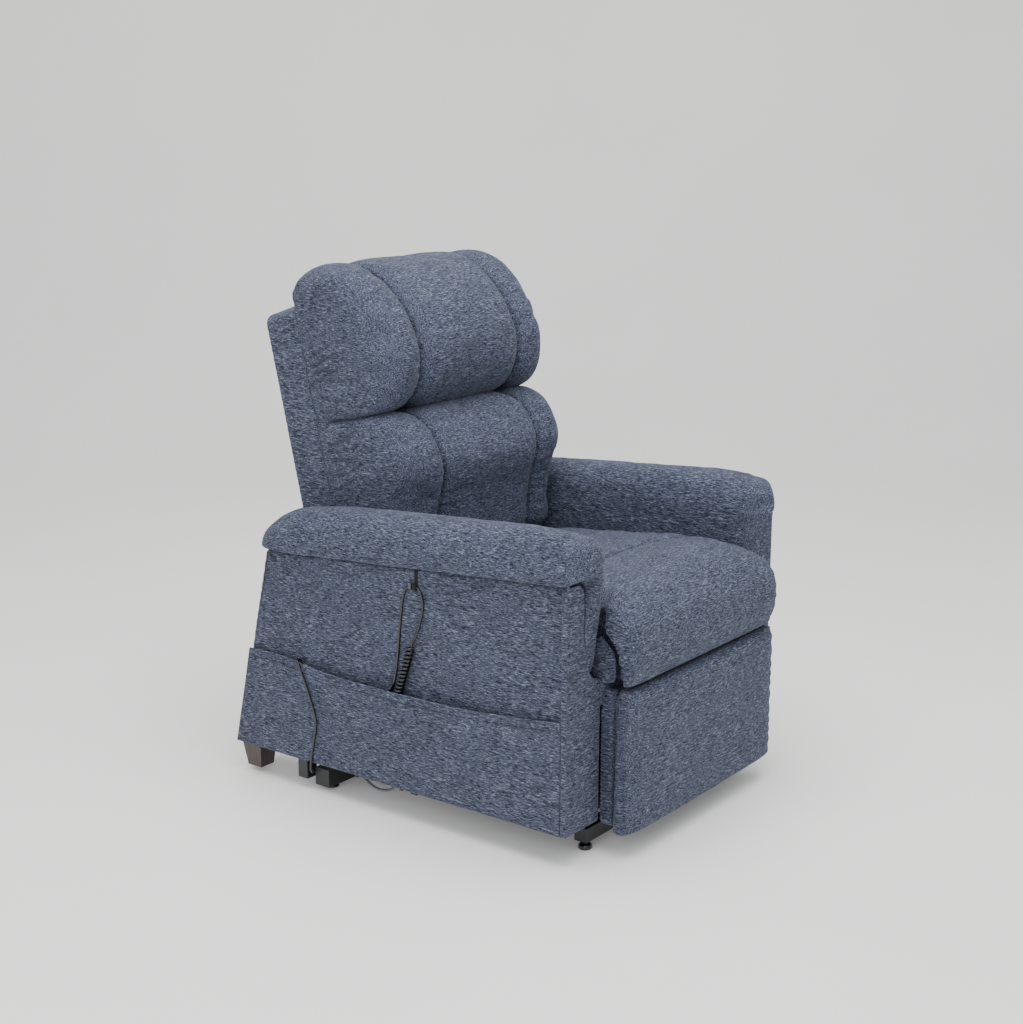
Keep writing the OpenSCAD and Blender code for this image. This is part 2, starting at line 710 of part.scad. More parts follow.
harness_route = [for (q = [[694, 61], [640, 61], [580, 61], [572, 61], [560, 61], [549, 56.5], [528, 44],
                           [503, 39], [478, 44], [457, 56.5], [446, 61], [434, 61], [422, 61], [412, 61]])
    [harness_x, q[0], q[1]]];
module harness_cable() {
    color("#6d7072") tube(open_curve(harness_route, 2), harness_d, 8);
}

// Hand control in its pocket, its cord's gland upwards.
handset_x = -arm_out + pocket_t + 3;
handset_y = 432;
handset_z = arm_bottom + 24;
gland = [handset_x + handset_t / 2, handset_y, handset_z + handset_h + 12];
module handset_case() {
    color("#141517") {
        translate([handset_x, handset_y - handset_w / 2, handset_z]) difference() {
            cube([handset_t, handset_w, handset_h]);
            for (z = button_z) translate([-1, handset_w / 2, z]) rotate([0, 90, 0])
                cylinder(h = 5, r = button_r + 0.4);
        }
        translate([gland[0], gland[1], handset_z + handset_h]) cylinder(h = 12, r1 = 6, r2 = cord_d / 2 + 1);
    }
}

button_z = [36, 62, 88, 114];
module button(i) {
    translate([handset_x - 1.5, handset_y, handset_z + button_z[i]])
        rotate([0, 90, 0]) cylinder(h = 3.4, r = button_r);
}
module button_recline() { color("#e8e8e8") button(0); }
module button_raise() { color("#e8e8e8") button(1); }
module button_lower() { color("#e8e8e8") button(2); }
module button_home() { color("#e8e8e8") button(3); }

// The cord's curled stretch leaves the gland, slips out of the pocket's mouth and
// rises along the arm's side.
curl_low = gland + [0, 0, cord_d];
curl_top = [side_face - curl_d / 2 - 1, 388, 388];
curl_r = (curl_d - cord_d) / 2;
curl_rings = 8;
function ease(t) = t <= 0 ? 0 : t >= 1 ? 1 : t * t * (3 - 2 * t);
function curl_axis(t) = let (p = curl_low + (curl_top - curl_low) * t)
    [curl_low[0] + (curl_top[0] - curl_low[0]) * ease((p[2] - gland[2]) / 34), p[1], p[2]];
curl_path = let (n = curls * curl_rings, d = unit([0, curl_top[1] - curl_low[1], curl_top[2] - curl_low[2]]),
                 a = [1, 0, 0], b = cross(d, a))
    concat([gland, gland + [0, 0, cord_d * 0.6]],
           [for (i = [1 : n]) let (t = i / (n + 1), q = 360 * i / curl_rings, g = min(1, min(i, n - i) / 5))
               curl_axis(t) + curl_r * g * (a * cos(q) + b * sin(q))],
           [curl_top, curl_top + d * cord_d]);
module handset_curl() { color("#0b0b0c") tube(curl_path, cord_d, 6); }
// Least gap between one turn and the next, measured ring to ring.
curl_gap = min([for (i = [6 : len(curl_path) - 1 - curl_rings - 6], k = [-2 : 2])
    norm(curl_path[i + curl_rings + k] - curl_path[i])]) - cord_d;
echo(curl_gap = curl_gap);

// The straight stretch: over the clip, behind the curls into the pocket and out again to the box.
cord_route = [curl_path[len(curl_path) - 1], [-396, 377, 412], [-393, 368, 442], [-391.8, 362, 472],
              [-391.8, 363, 492], [-392.3, 368, 505], [-392.7, 377, 512.8], [-392.7, 388, 514],
              [-392.6, 398, 512], [-391.5, 409, 500], [-391.3, 416, 478], [-391.3, 421, 445],
              [-391.3, 425, 410], [-391.3, 433, 360], [-391.4, 446, 315], [-391.4, 463, 285],
              [-386, 495, 258], [-382, 540, 248], [-381, 600, 248], [-383, 650, 262], [-389, 685, 282],
              [-397, 702, 296], [-406, 702, 299.5], [-411, 695, 292], [-411.5, 684, 272], [-410, 670, 238],
              [-408.5, 657, 200], [-406, 652, 165], [-404.5, 660, 125], [-404, 667, 95], [-403.5, 671, 72],
              [-401, 675, 56], [-394, 679, 45], [-386, 684, 40.5], [-383, 688, 40], [-383, 691, 40],
              [-383, 694, 40]];
module handset_cord() { color("#0b0b0c") tube(open_curve(cord_route, 2), cord_d, 8); }

// ---------------------------------------------------------------- back
shell_back = 12;
shell_low = -235;
shell_top = 418;
stile_face = shell_d - 16;
module back_frame() {
    color("#c49a6c") on_back() {
        both_sides() translate([stile_out - stile_w, -stile_face, shell_low - 1])
            cube([stile_w, stile_face - shell_back - 0.2, shell_top - shell_low - 3]);
        for (s = [shell_low + 5, 20, 180, shell_top - 48])
            translate([-(stile_out - stile_w), -stile_face + 10, s]) cube([2 * (stile_out - stile_w), 36, 44]);
    }
}

module back_brackets() {
    color("#2a2b2e") {
        both_sides() difference() {
            plate(stile_out, bracket_t) union() {
                polygon([[back_pivot[0] - 14, 400], [back_pivot[0] + 6, 410], [700, 500], [730, 500],
                         [742, 430], [722, 382], [back_drive[0] + 14, 296], [back_drive[0], 286],
                         [back_drive[0] - 14, 298]]);
                hole(back_drive, 14);
            }
            bar(back_pivot, stile_out - 1, bracket_t + 3, pin_r + pin_play);
        }
        bar(back_drive, -stile_out, 2 * stile_out, 8);
    }
}

// The upholstered outer back: a rear panel with two wings and a top, open to the front.
module back_shell() {
    top_from = shell_top - 28;
    crown = [[150, 30], [0, 38], [-150, 30]];
    color("#4a5468") on_back() difference() {
        union() {
            translate([0, 0, shell_low]) linear_extrude(top_from + 10 - shell_low) polygon([
                [-shell_half, -shell_d], [shell_half, -shell_d],
                [shell_half, -14], [shell_half - 8, -4], [shell_half - 22, 0], [-shell_half + 22, 0],
                [-shell_half + 8, -4], [-shell_half, -14]]);
            rotate([90, 0, 0]) linear_extrude(shell_d) polygon(concat(
                [[-shell_half, top_from], [shell_half, top_from], [shell_half, shell_top],
                 [shell_half - 12, shell_top + 12]],
                [for (p = crown) [p[0], shell_top + p[1]]],
                [[-shell_half + 12, shell_top + 12], [-shell_half, shell_top]]));
        }
        translate([-shell_half + shell_wall, -shell_d - 1, shell_low - 1])
            cube([2 * (shell_half - shell_wall), shell_d + 1 - shell_back, shell_top - shell_low]);
    }
}

// A pillow with three channels. Its ends roll off to a smaller side, its rear lies flat against the
// wings of the outer back, and its front swells sideways above the height lap_from.
seat_n = shell_d + 0.3;
function clamp01(t) = min(1, max(0, t));
module pillow(profile, lap_from) {
    half_at = [0, 60, channel_x - 34, channel_x - 15, channel_x, channel_x + 14, channel_x + 32,
               for (t = [0.1, 0.42, 0.72, 0.92, 1]) pillow_half - end_roll * (1 - t)];
    count = len(half_at);
    at = concat([for (i = [count - 1 : -1 : 1]) -half_at[i]], half_at);
    curve = closed_curve(profile, 2);
    c = mean(curve);
    rings = [for (x = at) let (t = clamp01((abs(x) - pillow_half + end_roll) / end_roll), e = sqrt(1 - t * t),
                               seam = exp(-pow((abs(x) - channel_x) / 13, 2)))
        [for (p = curve) let (n = seat_n + (p[0] - seat_n) * (0.78 + 0.22 * e),
                              up = c[1] + (p[1] - c[1]) * (0.88 + 0.12 * e),
                              draw = channel_depth * seam * clamp01((n - shell_d - 20) / 160),
                              lap = side_lap * clamp01((n - 180) / 80) * clamp01((up - lap_from) / 60))
            [x * (1 + lap / pillow_half), p[0] < shell_d + 7 ? -seat_n : -max(seat_n, n - draw), up]]];
    on_back() skin(rings, mean(rings[0]), mean(rings[len(rings) - 1]));
}

module head_pillow() {
    color("#4a5468") pillow(
        [[95, 190], [150, 180], [235, 179], [292, 189], [330, 222], [350, 275], [351, 318], [333, 385],
         [287, 456], [228, 499], [160, 512], [108, 497], [92, 440], [92, 320]], 120);
}

module lumbar_pillow() {
    color("#4a5468") pillow(
        [[95, -146], [170, -164], [236, -162], [278, -140], [296, -85], [318, -30], [342, 15], [352, 50],
         [346, 98], [324, 140], [283, 164], [225, 171], [140, 170], [92, 166], [92, 20]], 0);
}

// ---------------------------------------------------------------- footrest
guide_pin_r = 4;
module scissor_link(x, a, b, bores) {
    plate(x, scissor_t) difference() {
        link_outline(a, b, scissor_w);
        for (p = bores) hole(p, scissor_pin + pin_play);
    }
}
scissor_pin = 4.5;
lever = foot_shaft + [26, -62];

module footrest_shaft() {
    color("#8d9093") {
        bar(foot_shaft, -x_scissor_a, 2 * x_scissor_a, 9);
        both_sides() plate(-6, 12) difference() {
            link_outline(foot_shaft, lever, 26);
            hole(lever, 4);
        }
    }
}

module rear_scissor_links() {
    color("#34363a") both_sides() {
        plate(x_scissor_a, scissor_t) link_outline(s_t0, s_u1, scissor_w);
        bar(s_c1, x_scissor_a, x_scissor_b + scissor_t - x_scissor_a, scissor_pin);
        bar(s_u1, x_scissor_a, x_scissor_b + scissor_t - x_scissor_a, scissor_pin);
    }
}

module rear_cross_links() {
    color("#3c3e43") both_sides() {
        scissor_link(x_scissor_b, s_u0, s_t1, [s_c1]);
        bar(s_u0, x_scissor_b + scissor_t - 1, x_guide + scissor_t - x_scissor_b - scissor_t + 1, guide_pin_r);
    }
}

module front_scissor_links() {
    color("#34363a") both_sides() {
        scissor_link(x_scissor_b, s_u1, s_t2, [s_u1, s_t2]);
        bar(s_c2, x_scissor_a, x_scissor_b + 1 - x_scissor_a, scissor_pin);
    }
}

// Each runs from the open pivot on the rear cross link to the middle of the front link.
module front_cross_links() {
    color("#3c3e43") both_sides() difference() {
        union() {
            scissor_link(x_scissor_a, s_t1, s_c2, [s_c2]);
            bar(s_t1, x_scissor_a, 0.7 + scissor_t, scissor_pin);
        }
    }
}

bracket_back = -8;
panel_y = bracket_back - 30;
bracket_top = frame_low - 1.5;
module footrest_brackets() {
    color("#232427") both_sides() {
        plate(x_bracket, scissor_t) polygon([[bracket_back, 90], [bracket_back, bracket_top], [12, bracket_top],
                                             [24, s_t2[1]], [16, 282], [2, 262], [-3, 90]]);
        translate([x_bracket - 22, bracket_back, 90]) cube([22, 3, 150]);
        bar(s_t2, x_scissor_b, x_bracket + scissor_t - x_scissor_b, scissor_pin);
    }
}

// The board between the two pads, with the rear pad on its back.
module footrest_board() {
    half = footrest_half - 16;
    low = footrest_low + 16;
    high = footrest_high - 12;
    color("#3f4759") {
        translate([-half + 10, panel_y, low + 4]) cube([2 * half - 20, 8, high - low - 8]);
        translate([0, bracket_back, 0]) rotate([90, 0, 0]) linear_extrude(bracket_back - panel_y - 8) polygon([
            [-half + 4, low + 8], [-half + 14, low], [half - 14, low], [half - 4, low + 8], [half, low + 18],
            [half, high - 8], [half - 8, high], [-half + 8, high], [-half, high - 8], [-half, low + 18]]);
    }
}

module footrest_pad() {
    low = footrest_low;
    high = footrest_high;
    y0 = panel_y;
    front_y = y0 - footrest_t;
    middle = [[y0, low + 14], [y0 - 6, low + 3], [y0 - footrest_t / 2, low], [front_y + 4, low + 7],
              [front_y, low + 30],
              [front_y + 0.5, (low + high) / 2], [front_y, high - 34], [front_y + 4, high - 9],
              [y0 - footrest_t / 2, high], [y0 - 6, high - 3], [y0, high - 14], [y0, (low + high) / 2]];
    side = [for (p = middle) [y0 + (p[0] - y0) * 0.62, (low + high) / 2 + (p[1] - (low + high) / 2) * 0.985]];
    at = [-1, -0.99, -0.95, -0.85, -0.5, 0, 0.5, 0.85, 0.95, 0.99, 1];
    rings = [for (u = at) let (e = pow(1 - pow(abs(u), 8), 0.5), r = closed_curve(side + (middle - side) * e, 2),
                               c = mean(r), k = abs(u) == 1 ? 0.8 : 1)
        [for (p = r) let (q = c + (p - c) * k) [u * footrest_half, min(q[0], y0), q[1]]]];
    color("#4a5468") skin(rings, mean(rings[0]), mean(rings[len(rings) - 1]));
}

// ---------------------------------------------------------------- the chair
from_front() base_front_tube();
from_front() base_rear_tube();
from_front() base_rails();
from_front() tube_end_caps();
from_front() levelling_glides();
from_front() link_brackets();
from_front() base_pivot_pins();
from_front() lift_motor_mount();
from_front() transformer_box();
from_front() mains_inlet();
from_front() rear_lift_links();
from_front() lift_torque_tube();
from_front() front_lift_links();
from_front() lift_motor();
from_front() lift_motor_tube();
from_front() lift_rod();
from_front() mechanism_plates();
from_front() chair_pivot_pins();
from_front() chair_cross_tube();
from_front() seat_frame_ends();
from_front() seat_frame_sides();
from_front() seat_springs();
from_front() seat_cushion();
from_front() scissor_guide_plates();
from_front() back_hinge_plates();
from_front() arm_left();
from_front() arm_right();
from_front() arm_facing_left();
from_front() arm_facing_right();
from_front() arm_pad_left();
from_front() arm_pad_right();
from_front() side_pocket();
from_front() rear_legs();
from_front() hanging_tab();
from_front() tab_clip();
from_front() connector_box();
from_front() cable_clips();
from_front() harness_cable();
from_front() handset_cord();
from_front() handset_curl();
from_front() handset_case();
from_front() button_recline();
from_front() button_raise();
from_front() button_lower();
from_front() button_home();
from_front() back_frame();
from_front() back_brackets();
from_front() back_shell();
from_front() head_pillow();
from_front() lumbar_pillow();
from_front() back_motor();
from_front() back_rod();
from_front() footrest_shaft();
from_front() rear_scissor_links();
from_front() rear_cross_links();
from_front() front_scissor_links();
from_front() front_cross_links();
from_front() footrest_brackets();
from_front() footrest_board();
from_front() footrest_pad();
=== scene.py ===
"""Looks of a lift recliner chair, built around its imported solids.

The classes build in the chair's own frame, in millimetres: x to the sitter's left, y back from the arms'
front face, z up from the floor. place() turns that into metres of the part's frame.
"""
import json
import logging
import math
from dataclasses import dataclass
from enum import Enum
from typing import Any, Callable, Sequence

import bmesh
import bpy
import numpy as np
from mathutils import Matrix, Vector
from mathutils import noise as mnoise
from mathutils.kdtree import KDTree


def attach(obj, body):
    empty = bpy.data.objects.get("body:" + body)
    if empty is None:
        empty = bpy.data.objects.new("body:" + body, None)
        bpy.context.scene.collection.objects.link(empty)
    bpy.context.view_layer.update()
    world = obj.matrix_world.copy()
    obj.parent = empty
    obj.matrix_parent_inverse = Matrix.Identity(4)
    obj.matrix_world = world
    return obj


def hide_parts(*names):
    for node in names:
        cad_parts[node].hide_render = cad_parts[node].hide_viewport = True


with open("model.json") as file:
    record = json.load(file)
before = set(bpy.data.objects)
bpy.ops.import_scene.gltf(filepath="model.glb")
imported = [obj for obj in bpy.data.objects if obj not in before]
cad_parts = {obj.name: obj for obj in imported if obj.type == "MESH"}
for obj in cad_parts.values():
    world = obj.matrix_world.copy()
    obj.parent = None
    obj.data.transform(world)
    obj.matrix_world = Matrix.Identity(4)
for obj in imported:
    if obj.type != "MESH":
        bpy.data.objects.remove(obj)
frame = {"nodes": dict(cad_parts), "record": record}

LOG = logging.getLogger("recliner")
Array = np.ndarray
Node = bpy.types.Node
Object = bpy.types.Object
Material = bpy.types.Material

MM = 1000.0  # millimetres in a metre
ARM_FRONT = 412.0  # the arms' front face lies this far ahead of the part's origin, in mm
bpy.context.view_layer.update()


# ------------------------------------------------------------------------------ geometry helpers
def place(points: Any) -> Array:
    """Turns chair millimetres into metres of the part's frame.

    Args:
        points: one point or an array of points (x, y, z).

    Returns:
        The same points in metres.
    """
    out = np.array(points, float) / MM
    out[..., 1] -= ARM_FRONT / MM
    return out


def chair_mm(points: Array) -> tuple[Array, Array, Array]:
    """Turns metres of the part's frame into chair millimetres.

    Args:
        points: positions, one per row.

    Returns:
        Arrays of x, y and z.
    """
    return points[:, 0] * MM, points[:, 1] * MM + ARM_FRONT, points[:, 2] * MM


def fade(value: Any, span: float) -> Any:
    """Rises from 0 to 1 while a value goes from 0 to the span, and stays there."""
    return np.clip(value / span, 0, 1)


def distance_along(path: Array) -> Array:
    """Distance from a path's start to each of its points, in the path's own unit."""
    return np.concatenate([[0], np.cumsum(np.linalg.norm(np.diff(path, axis=0), axis=1))])


def spline(control: Any, count: int, closed: bool = True, even: bool = True) -> Array:
    """Runs a Catmull-Rom curve through control points.

    Args:
        control: the points, one per row.
        count: how many points to return.
        closed: whether the last point joins the first.
        even: whether the points are spaced evenly along the curve.

    Returns:
        An array of count points.
    """
    return sample(control, spread(control, count, closed) if even else None, count, closed)


def sample(control: Any, at: Array | None, count: int, closed: bool) -> Array:
    """Evaluates a Catmull-Rom curve.

    Args:
        control: the points, one per row.
        at: curve parameters from 0 to 1, or None for evenly spaced ones.
        count: how many points to return where at is None.
        closed: whether the last point joins the first.

    Returns:
        The points on the curve.
    """
    p = np.asarray(control, float)
    n = len(p)
    span = n if closed else n - 1
    t = (np.linspace(0, 1, count, endpoint=not closed) if at is None else np.asarray(at)) * span
    i = np.minimum(np.floor(t).astype(int), span - 1)
    f = (t - i)[:, None]

    def pick(k: Array) -> Array:
        """Control points by index, wrapped or held at the ends."""
        return p[k % n] if closed else p[np.clip(k, 0, n - 1)]

    a, b, c, d = pick(i - 1), pick(i), pick(i + 1), pick(i + 2)
    square, cube = 2 * a - 5 * b + 4 * c - d, 3 * b - a - 3 * c + d
    return 0.5 * (2 * b + (c - a) * f + square * f * f + cube * f ** 3)


def spread(control: Any, count: int, closed: bool = True) -> Array:
    """Curve parameters that space points evenly along a Catmull-Rom curve.

    Args:
        control: the points, one per row.
        count: how many parameters to return.
        closed: whether the last point joins the first.

    Returns:
        Parameters from 0 to 1.
    """
    fine = np.linspace(0, 1, 60 * len(control))
    curve = sample(control, fine, 0, closed)
    length = distance_along(curve)
    return np.interp(np.linspace(0, length[-1], count, endpoint=not closed), length, fine)


def new_object(name: str, vertices: Array, faces: Sequence[Sequence[int]]) -> Object:
    """Makes a smooth-shaded mesh object in the scene.

    Args:
        name: the piece's name.
        vertices: points in metres.
        faces: vertex indices of each face.

    Returns:
        The new object.
    """
    mesh = bpy.data.meshes.new(name)
    mesh.from_pydata([tuple(v) for v in vertices], [], [tuple(f) for f in faces])
    mesh.polygons.foreach_set("use_smooth", [True] * len(mesh.polygons))
    mesh.update()
    piece = bpy.data.objects.new(name, mesh)
    bpy.context.scene.collection.objects.link(piece)
    return piece


class Weft(Enum):
    """Which way the cloth's weft runs on a piece: across the chair, or from front to back."""

    ACROSS = 0
    ALONG = 1


def lay_weave(piece: Object, weft: Weft) -> None:
    """Stores each face corner's place in the cloth, in metres: along the weft, then across it.

    Faces that look along the weft take the other level direction, as a separately cut panel would.

    Args:
        piece: the mesh object.
        weft: which way the weft runs.
    """
    mesh, main = piece.data, weft.value
    normals = np.zeros(len(mesh.polygons) * 3)
    mesh.polygons.foreach_get("normal", normals)
    corners = np.zeros(len(mesh.polygons), int)
    mesh.polygons.foreach_get("loop_total", corners)
    vertex = np.zeros(len(mesh.loops), int)
    mesh.loops.foreach_get("vertex_index", vertex)
    turned = np.repeat(np.abs(normals.reshape(-1, 3)[:, main]) > 0.74, corners)
    at = vertex_array(piece)[vertex]
    values = np.stack([np.where(turned, at[:, 1 - main], at[:, main]),
                       np.where(turned, at[:, main], at[:, 1 - main]), at[:, 2]], axis=1)
    old = mesh.attributes.get("weave")
    if old:
        mesh.attributes.remove(old)
    layer = mesh.attributes.new("weave", "FLOAT_VECTOR", "CORNER")
    layer.data.foreach_set("vector", np.ascontiguousarray(values, np.float32).ravel())


def vertex_array(piece: Object) -> Array:
    """Reads a mesh object's vertices.

    Args:
        piece: the mesh object.

    Returns:
        Their positions in metres, one per row.
    """
    co = np.zeros(len(piece.data.vertices) * 3)
    piece.data.vertices.foreach_get("co", co)
    return co.reshape(-1, 3)


def move_vertices(piece: Object, points: Array) -> None:
    """Writes vertex positions back to a mesh object."""
    piece.data.vertices.foreach_set("co", np.ascontiguousarray(points, float).ravel())
    piece.data.update()


def vertex_normals(piece: Object) -> Array:
    """Reads a mesh object's normals.

    Args:
        piece: the mesh object.

    Returns:
        One unit vector per vertex.
    """
    out = np.zeros(len(piece.data.vertices) * 3)
    piece.data.vertex_normals.foreach_get("vector", out)
    return out.reshape(-1, 3)


def loft(name: str, rings: Array, ends: Sequence[float] = (0.72, 0.42, 0.16), dome: float = 0.0) -> Object:
    """Skins closed rings into a closed form.

    Args:
        name: the piece's name.
        rings: array (rings, points, 3) in chair millimetres.
        ends: sizes of the inner rings that close each end.
        dome: how far each end's middle stands proud, in mm.

    Returns:
        The new object.
    """
    first, last = rings[0], rings[-1]
    out = last.mean(0) - first.mean(0)
    out /= np.linalg.norm(out)

    def closing(ring: Array, way: Array) -> list[Array]:
        """Ever smaller rings that close one end."""
        mid = ring.mean(0)
        return [mid + (ring - mid) * k + way * dome * math.sqrt(1 - k * k) for k in ends]

    head, tail = closing(first, -out)[::-1], closing(last, out)
    full = np.stack(head + list(rings) + tail)
    m, n = full.shape[:2]
    points = np.concatenate([full.reshape(-1, 3), [first.mean(0) - out * dome], [last.mean(0) + out * dome]])
    faces = [(i * n + j, i * n + (j + 1) % n, (i + 1) * n + (j + 1) % n, (i + 1) * n + j)
             for i in range(m - 1) for j in range(n)]
    faces += [((j + 1) % n, j, m * n) for j in range(n)]
    faces += [((m - 1) * n + j, (m - 1) * n + (j + 1) % n, m * n + 1) for j in range(n)]
    piece = new_object(name, place(points), faces)
    face_outward(piece)
    return piece


def face_outward(piece: Object) -> None:
    """Turns a closed mesh's faces outward.

    Args:
        piece: the mesh object.
    """
    bm = bmesh.new()
    bm.from_mesh(piece.data)
    bmesh.ops.recalc_face_normals(bm, faces=bm.faces)
    bm.to_mesh(piece.data)
    bm.free()


def prism(name: str, outline: Any, low: float, high: float, axis: int) -> Object:
    """Extrudes a flat outline along one axis.

    Args:
        name: the piece's name.
        outline: points of the outline, in the two axes other than axis, in order x, y, z.
        low: where the piece starts along axis, in mm.
        high: where it ends, in mm.
        axis: 0, 1 or 2 for x, y or z.

    Returns:
        The new object, with n-gon ends.
    """
    flat = np.asarray(outline, float)
    return solid_between(name, *(np.insert(flat, axis, value, axis=1) for value in (low, high)))


def solid_between(name: str, low: Array, high: Array) -> Object:
    """Makes a closed form between two matching outlines.

    Args:
        name: the piece's name.
        low: points of one outline, in chair millimetres.
        high: as many points of the other.

    Returns:
        The new object.
    """
    n = len(low)
    faces = [tuple(range(n)), tuple(range(2 * n - 1, n - 1, -1))]
    faces += [(i, i + n, (i + 1) % n + n, (i + 1) % n) for i in range(n)]
    piece = new_object(name, place(np.concatenate([low, high])), faces)
    face_outward(piece)
    return piece


def apply_modifiers(piece: Object) -> None:
    """Turns a piece's modified form into its own mesh.

    Args:
        piece: the mesh object, which is left with no modifier.
    """
    bpy.context.view_layer.update()
    graph = bpy.context.evaluated_depsgraph_get()
    shaped = piece.evaluated_get(graph)
    mesh = bpy.data.meshes.new_from_object(shaped, preserve_all_data_layers=True, depsgraph=graph)
    old = piece.data
    piece.modifiers.clear()
    piece.data = mesh
    bpy.data.meshes.remove(old)


def combine(piece: Object, other: Object, operation: str) -> None:
    """Joins another closed form to a piece, or cuts it away.

    Args:
        piece: the mesh object that is kept.
        other: the other form, which is used up.
        operation: "UNION" or "DIFFERENCE".
    """
    mod = piece.modifiers.new("combine", "BOOLEAN")
    mod.operation, mod.object, mod.solver = operation, other, "EXACT"
    apply_modifiers(piece)
    bpy.data.objects.remove(other)


def add_even_mesh(piece: Object, voxel: float) -> None:
    """Adds a remesh that spaces a piece's vertices evenly, voxel mm apart."""
    mod = piece.modifiers.new("even", "REMESH")
    mod.mode, mod.voxel_size, mod.use_smooth_shade = "VOXEL", voxel / MM, True


def soften(piece: Object, voxel: float, passes: int, factor: float = 0.5) -> None:
    """Rounds a hard form into upholstery: an even remesh, then smoothing.

    Args:
        piece: the mesh object.
        voxel: edge length of the new mesh, in mm.
        passes: how many smoothing passes.
        factor: strength of each pass.
    """
    add_even_mesh(piece, voxel)
    smooth = piece.modifiers.new("round", "SMOOTH")
    smooth.iterations, smooth.factor = passes, factor
    apply_modifiers(piece)


def refine(piece: Object, levels: int = 1) -> None:
    """Adds subdivision that is applied at once.

    Args:
        piece: the mesh object.
        levels: how many times each face is divided.
    """
    mod = piece.modifiers.new("fine", "SUBSURF")
    mod.levels = mod.render_levels = levels
    apply_modifiers(piece)
    piece.data.polygons.foreach_set("use_smooth", [True] * len(piece.data.polygons))


def ripple(points: Array, size: float, seed: float) -> Array:
    """Smooth noise from -1 to 1 at points given in metres.

    Args:
        points: positions, one per row.
        size: length of one ripple in mm.
        seed: shifts the pattern.

    Returns:
        One value per point.
    """
    k = MM / size
    shift = np.array([seed, -seed, 2 * seed])
    return np.array([mnoise.noise(Vector(p * k + shift)) for p in points])


def emboss(piece: Object, height: Array) -> None:
    """Moves a piece's surface out along its normals.

    Args:
        piece: the mesh object.
        height: how far each vertex moves, in mm.
    """
    move_vertices(piece, vertex_array(piece) + vertex_normals(piece) * (height / MM)[:, None])


CLOTH_FRAMES = 20
SLACK_SIZE, SLACK_HEIGHT = 38, 0.0008  # mm between the first wrinkles, and their height in metres
KEPT_SWELL = 0.75  # share of the swelling that is kept where the cap doesn't bind


def inflate(piece: Object, voxel: float, cap: float, held: Callable[[Array], Array], seed: float) -> None:
    """Swells a cushion as cloth under air pressure, in an even mesh, and keeps it near its cut shape.

    Args:
        piece: the mesh object, which is left with no modifier.
        voxel: edge length of the even mesh, in mm.
        cap: how far a point may move, in mm.
        held: tells, for points in metres, which ones are sewn or glued down, from 0 to 1.
        seed: shifts the slack that starts the wrinkles.
    """
    add_even_mesh(piece, voxel)
    apply_modifiers(piece)
    start = vertex_array(piece)
    group = piece.vertex_groups.new(name="held")
    weights = np.clip(held(start), 0, 1)
    for level in (0.25, 0.5, 0.75, 1.0):
        chosen = np.nonzero(np.abs(weights - level) <= 0.125)[0]
        if len(chosen):
            group.add([int(i) for i in chosen], level, "REPLACE")
    slack = ripple(start, SLACK_SIZE, seed) * SLACK_HEIGHT
    move_vertices(piece, start + vertex_normals(piece) * slack[:, None])
    cloth = piece.modifiers.new("air", "CLOTH")
    settings = cloth.settings
    settings.quality, settings.mass = 4, 0.25
    settings.use_pressure, settings.uniform_pressure_force = True, 4.0
    settings.effector_weights.gravity = 0.0
    settings.tension_stiffness = settings.compression_stiffness = 12.0
    settings.bending_stiffness, settings.shrink_min = 0.3, -0.02
    settings.vertex_group_mass = "held"
    cloth.point_cache.frame_start, cloth.point_cache.frame_end = 1, CLOTH_FRAMES
    scene = bpy.context.scene
    for step in range(1, CLOTH_FRAMES + 1):
        scene.frame_set(step)
    apply_modifiers(piece)
    scene.frame_set(1)
    moved = vertex_array(piece) - start
    far = np.linalg.norm(moved, axis=1)
    limit = np.minimum(KEPT_SWELL, cap / MM / np.maximum(far, 1e-9))
    move_vertices(piece, start + moved * limit[:, None])
    LOG.info("%s: swelled by %.1f mm on average", piece.name, float(far.mean() * MM))


def nearest(points: Array, path: Array) -> tuple[Array, Array]:
    """Finds the nearest point of a path for each point.

    Args:
        points: positions, one per row.
        path: the path's points, one per row.

    Returns:
        Distances, and indices into the path.
    """
    tree = KDTree(len(path))
    for i, p in enumerate(path):
        tree.insert(p, i)
    tree.balance()
    found = [tree.find(p) for p in points]
    return np.array([f[2] for f in found]), np.array([f[1] for f in found])


@dataclass(frozen=True)
class Seam:
    """How a sewn line draws the cloth in, in mm."""

    depth: float
    width: float  # half width of the groove
    pucker: float = 0.0  # height of the puckers beside it
    pitch: float = 15.0  # spacing of the puckers


def sew(piece: Object, path: Array, seam: Seam) -> None:
    """Draws the cloth in along a sewn line, with small uneven puckers beside it.

    Args:
        piece: the mesh object.
        path: the line, in metres, closely spaced; it is laid on the piece's surface first.
        seam: the line's sizes.
    """
    bpy.context.view_layer.update()
    path = np.array([piece.closest_point_on_mesh(Vector(p))[1] for p in path])
    gap, index = nearest(vertex_array(piece), path)
    gap *= MM
    run = distance_along(path)[index] * MM
    groove = np.exp(-(gap / seam.width) ** 2)
    wave = np.sin(2 * math.pi * run / seam.pitch + 2.2 * np.sin(run / 23.0))
    wave *= 0.6 + 0.4 * np.sin(run / 41.0 + 1)
    pucker = seam.pucker * wave * np.exp(-gap / (2.6 * seam.width)) * (1 - groove)
    emboss(piece, pucker - seam.depth * groove)


# ------------------------------------------------------------------------------ materials
def linear(code: str) -> tuple[float, float, float, float]:
    """Turns an sRGB hex colour into linear RGBA.

    Args:
        code: such as "#4a5468".

    Returns:
        The linear colour with alpha 1.
    """
    parts = [int(code[i:i + 2], 16) / 255 for i in (1, 3, 5)]
    rgb = [c / 12.92 if c <= 0.04045 else ((c + 0.055) / 1.055) ** 2.4 for c in parts]
    return (rgb[0], rgb[1], rgb[2], 1.0)


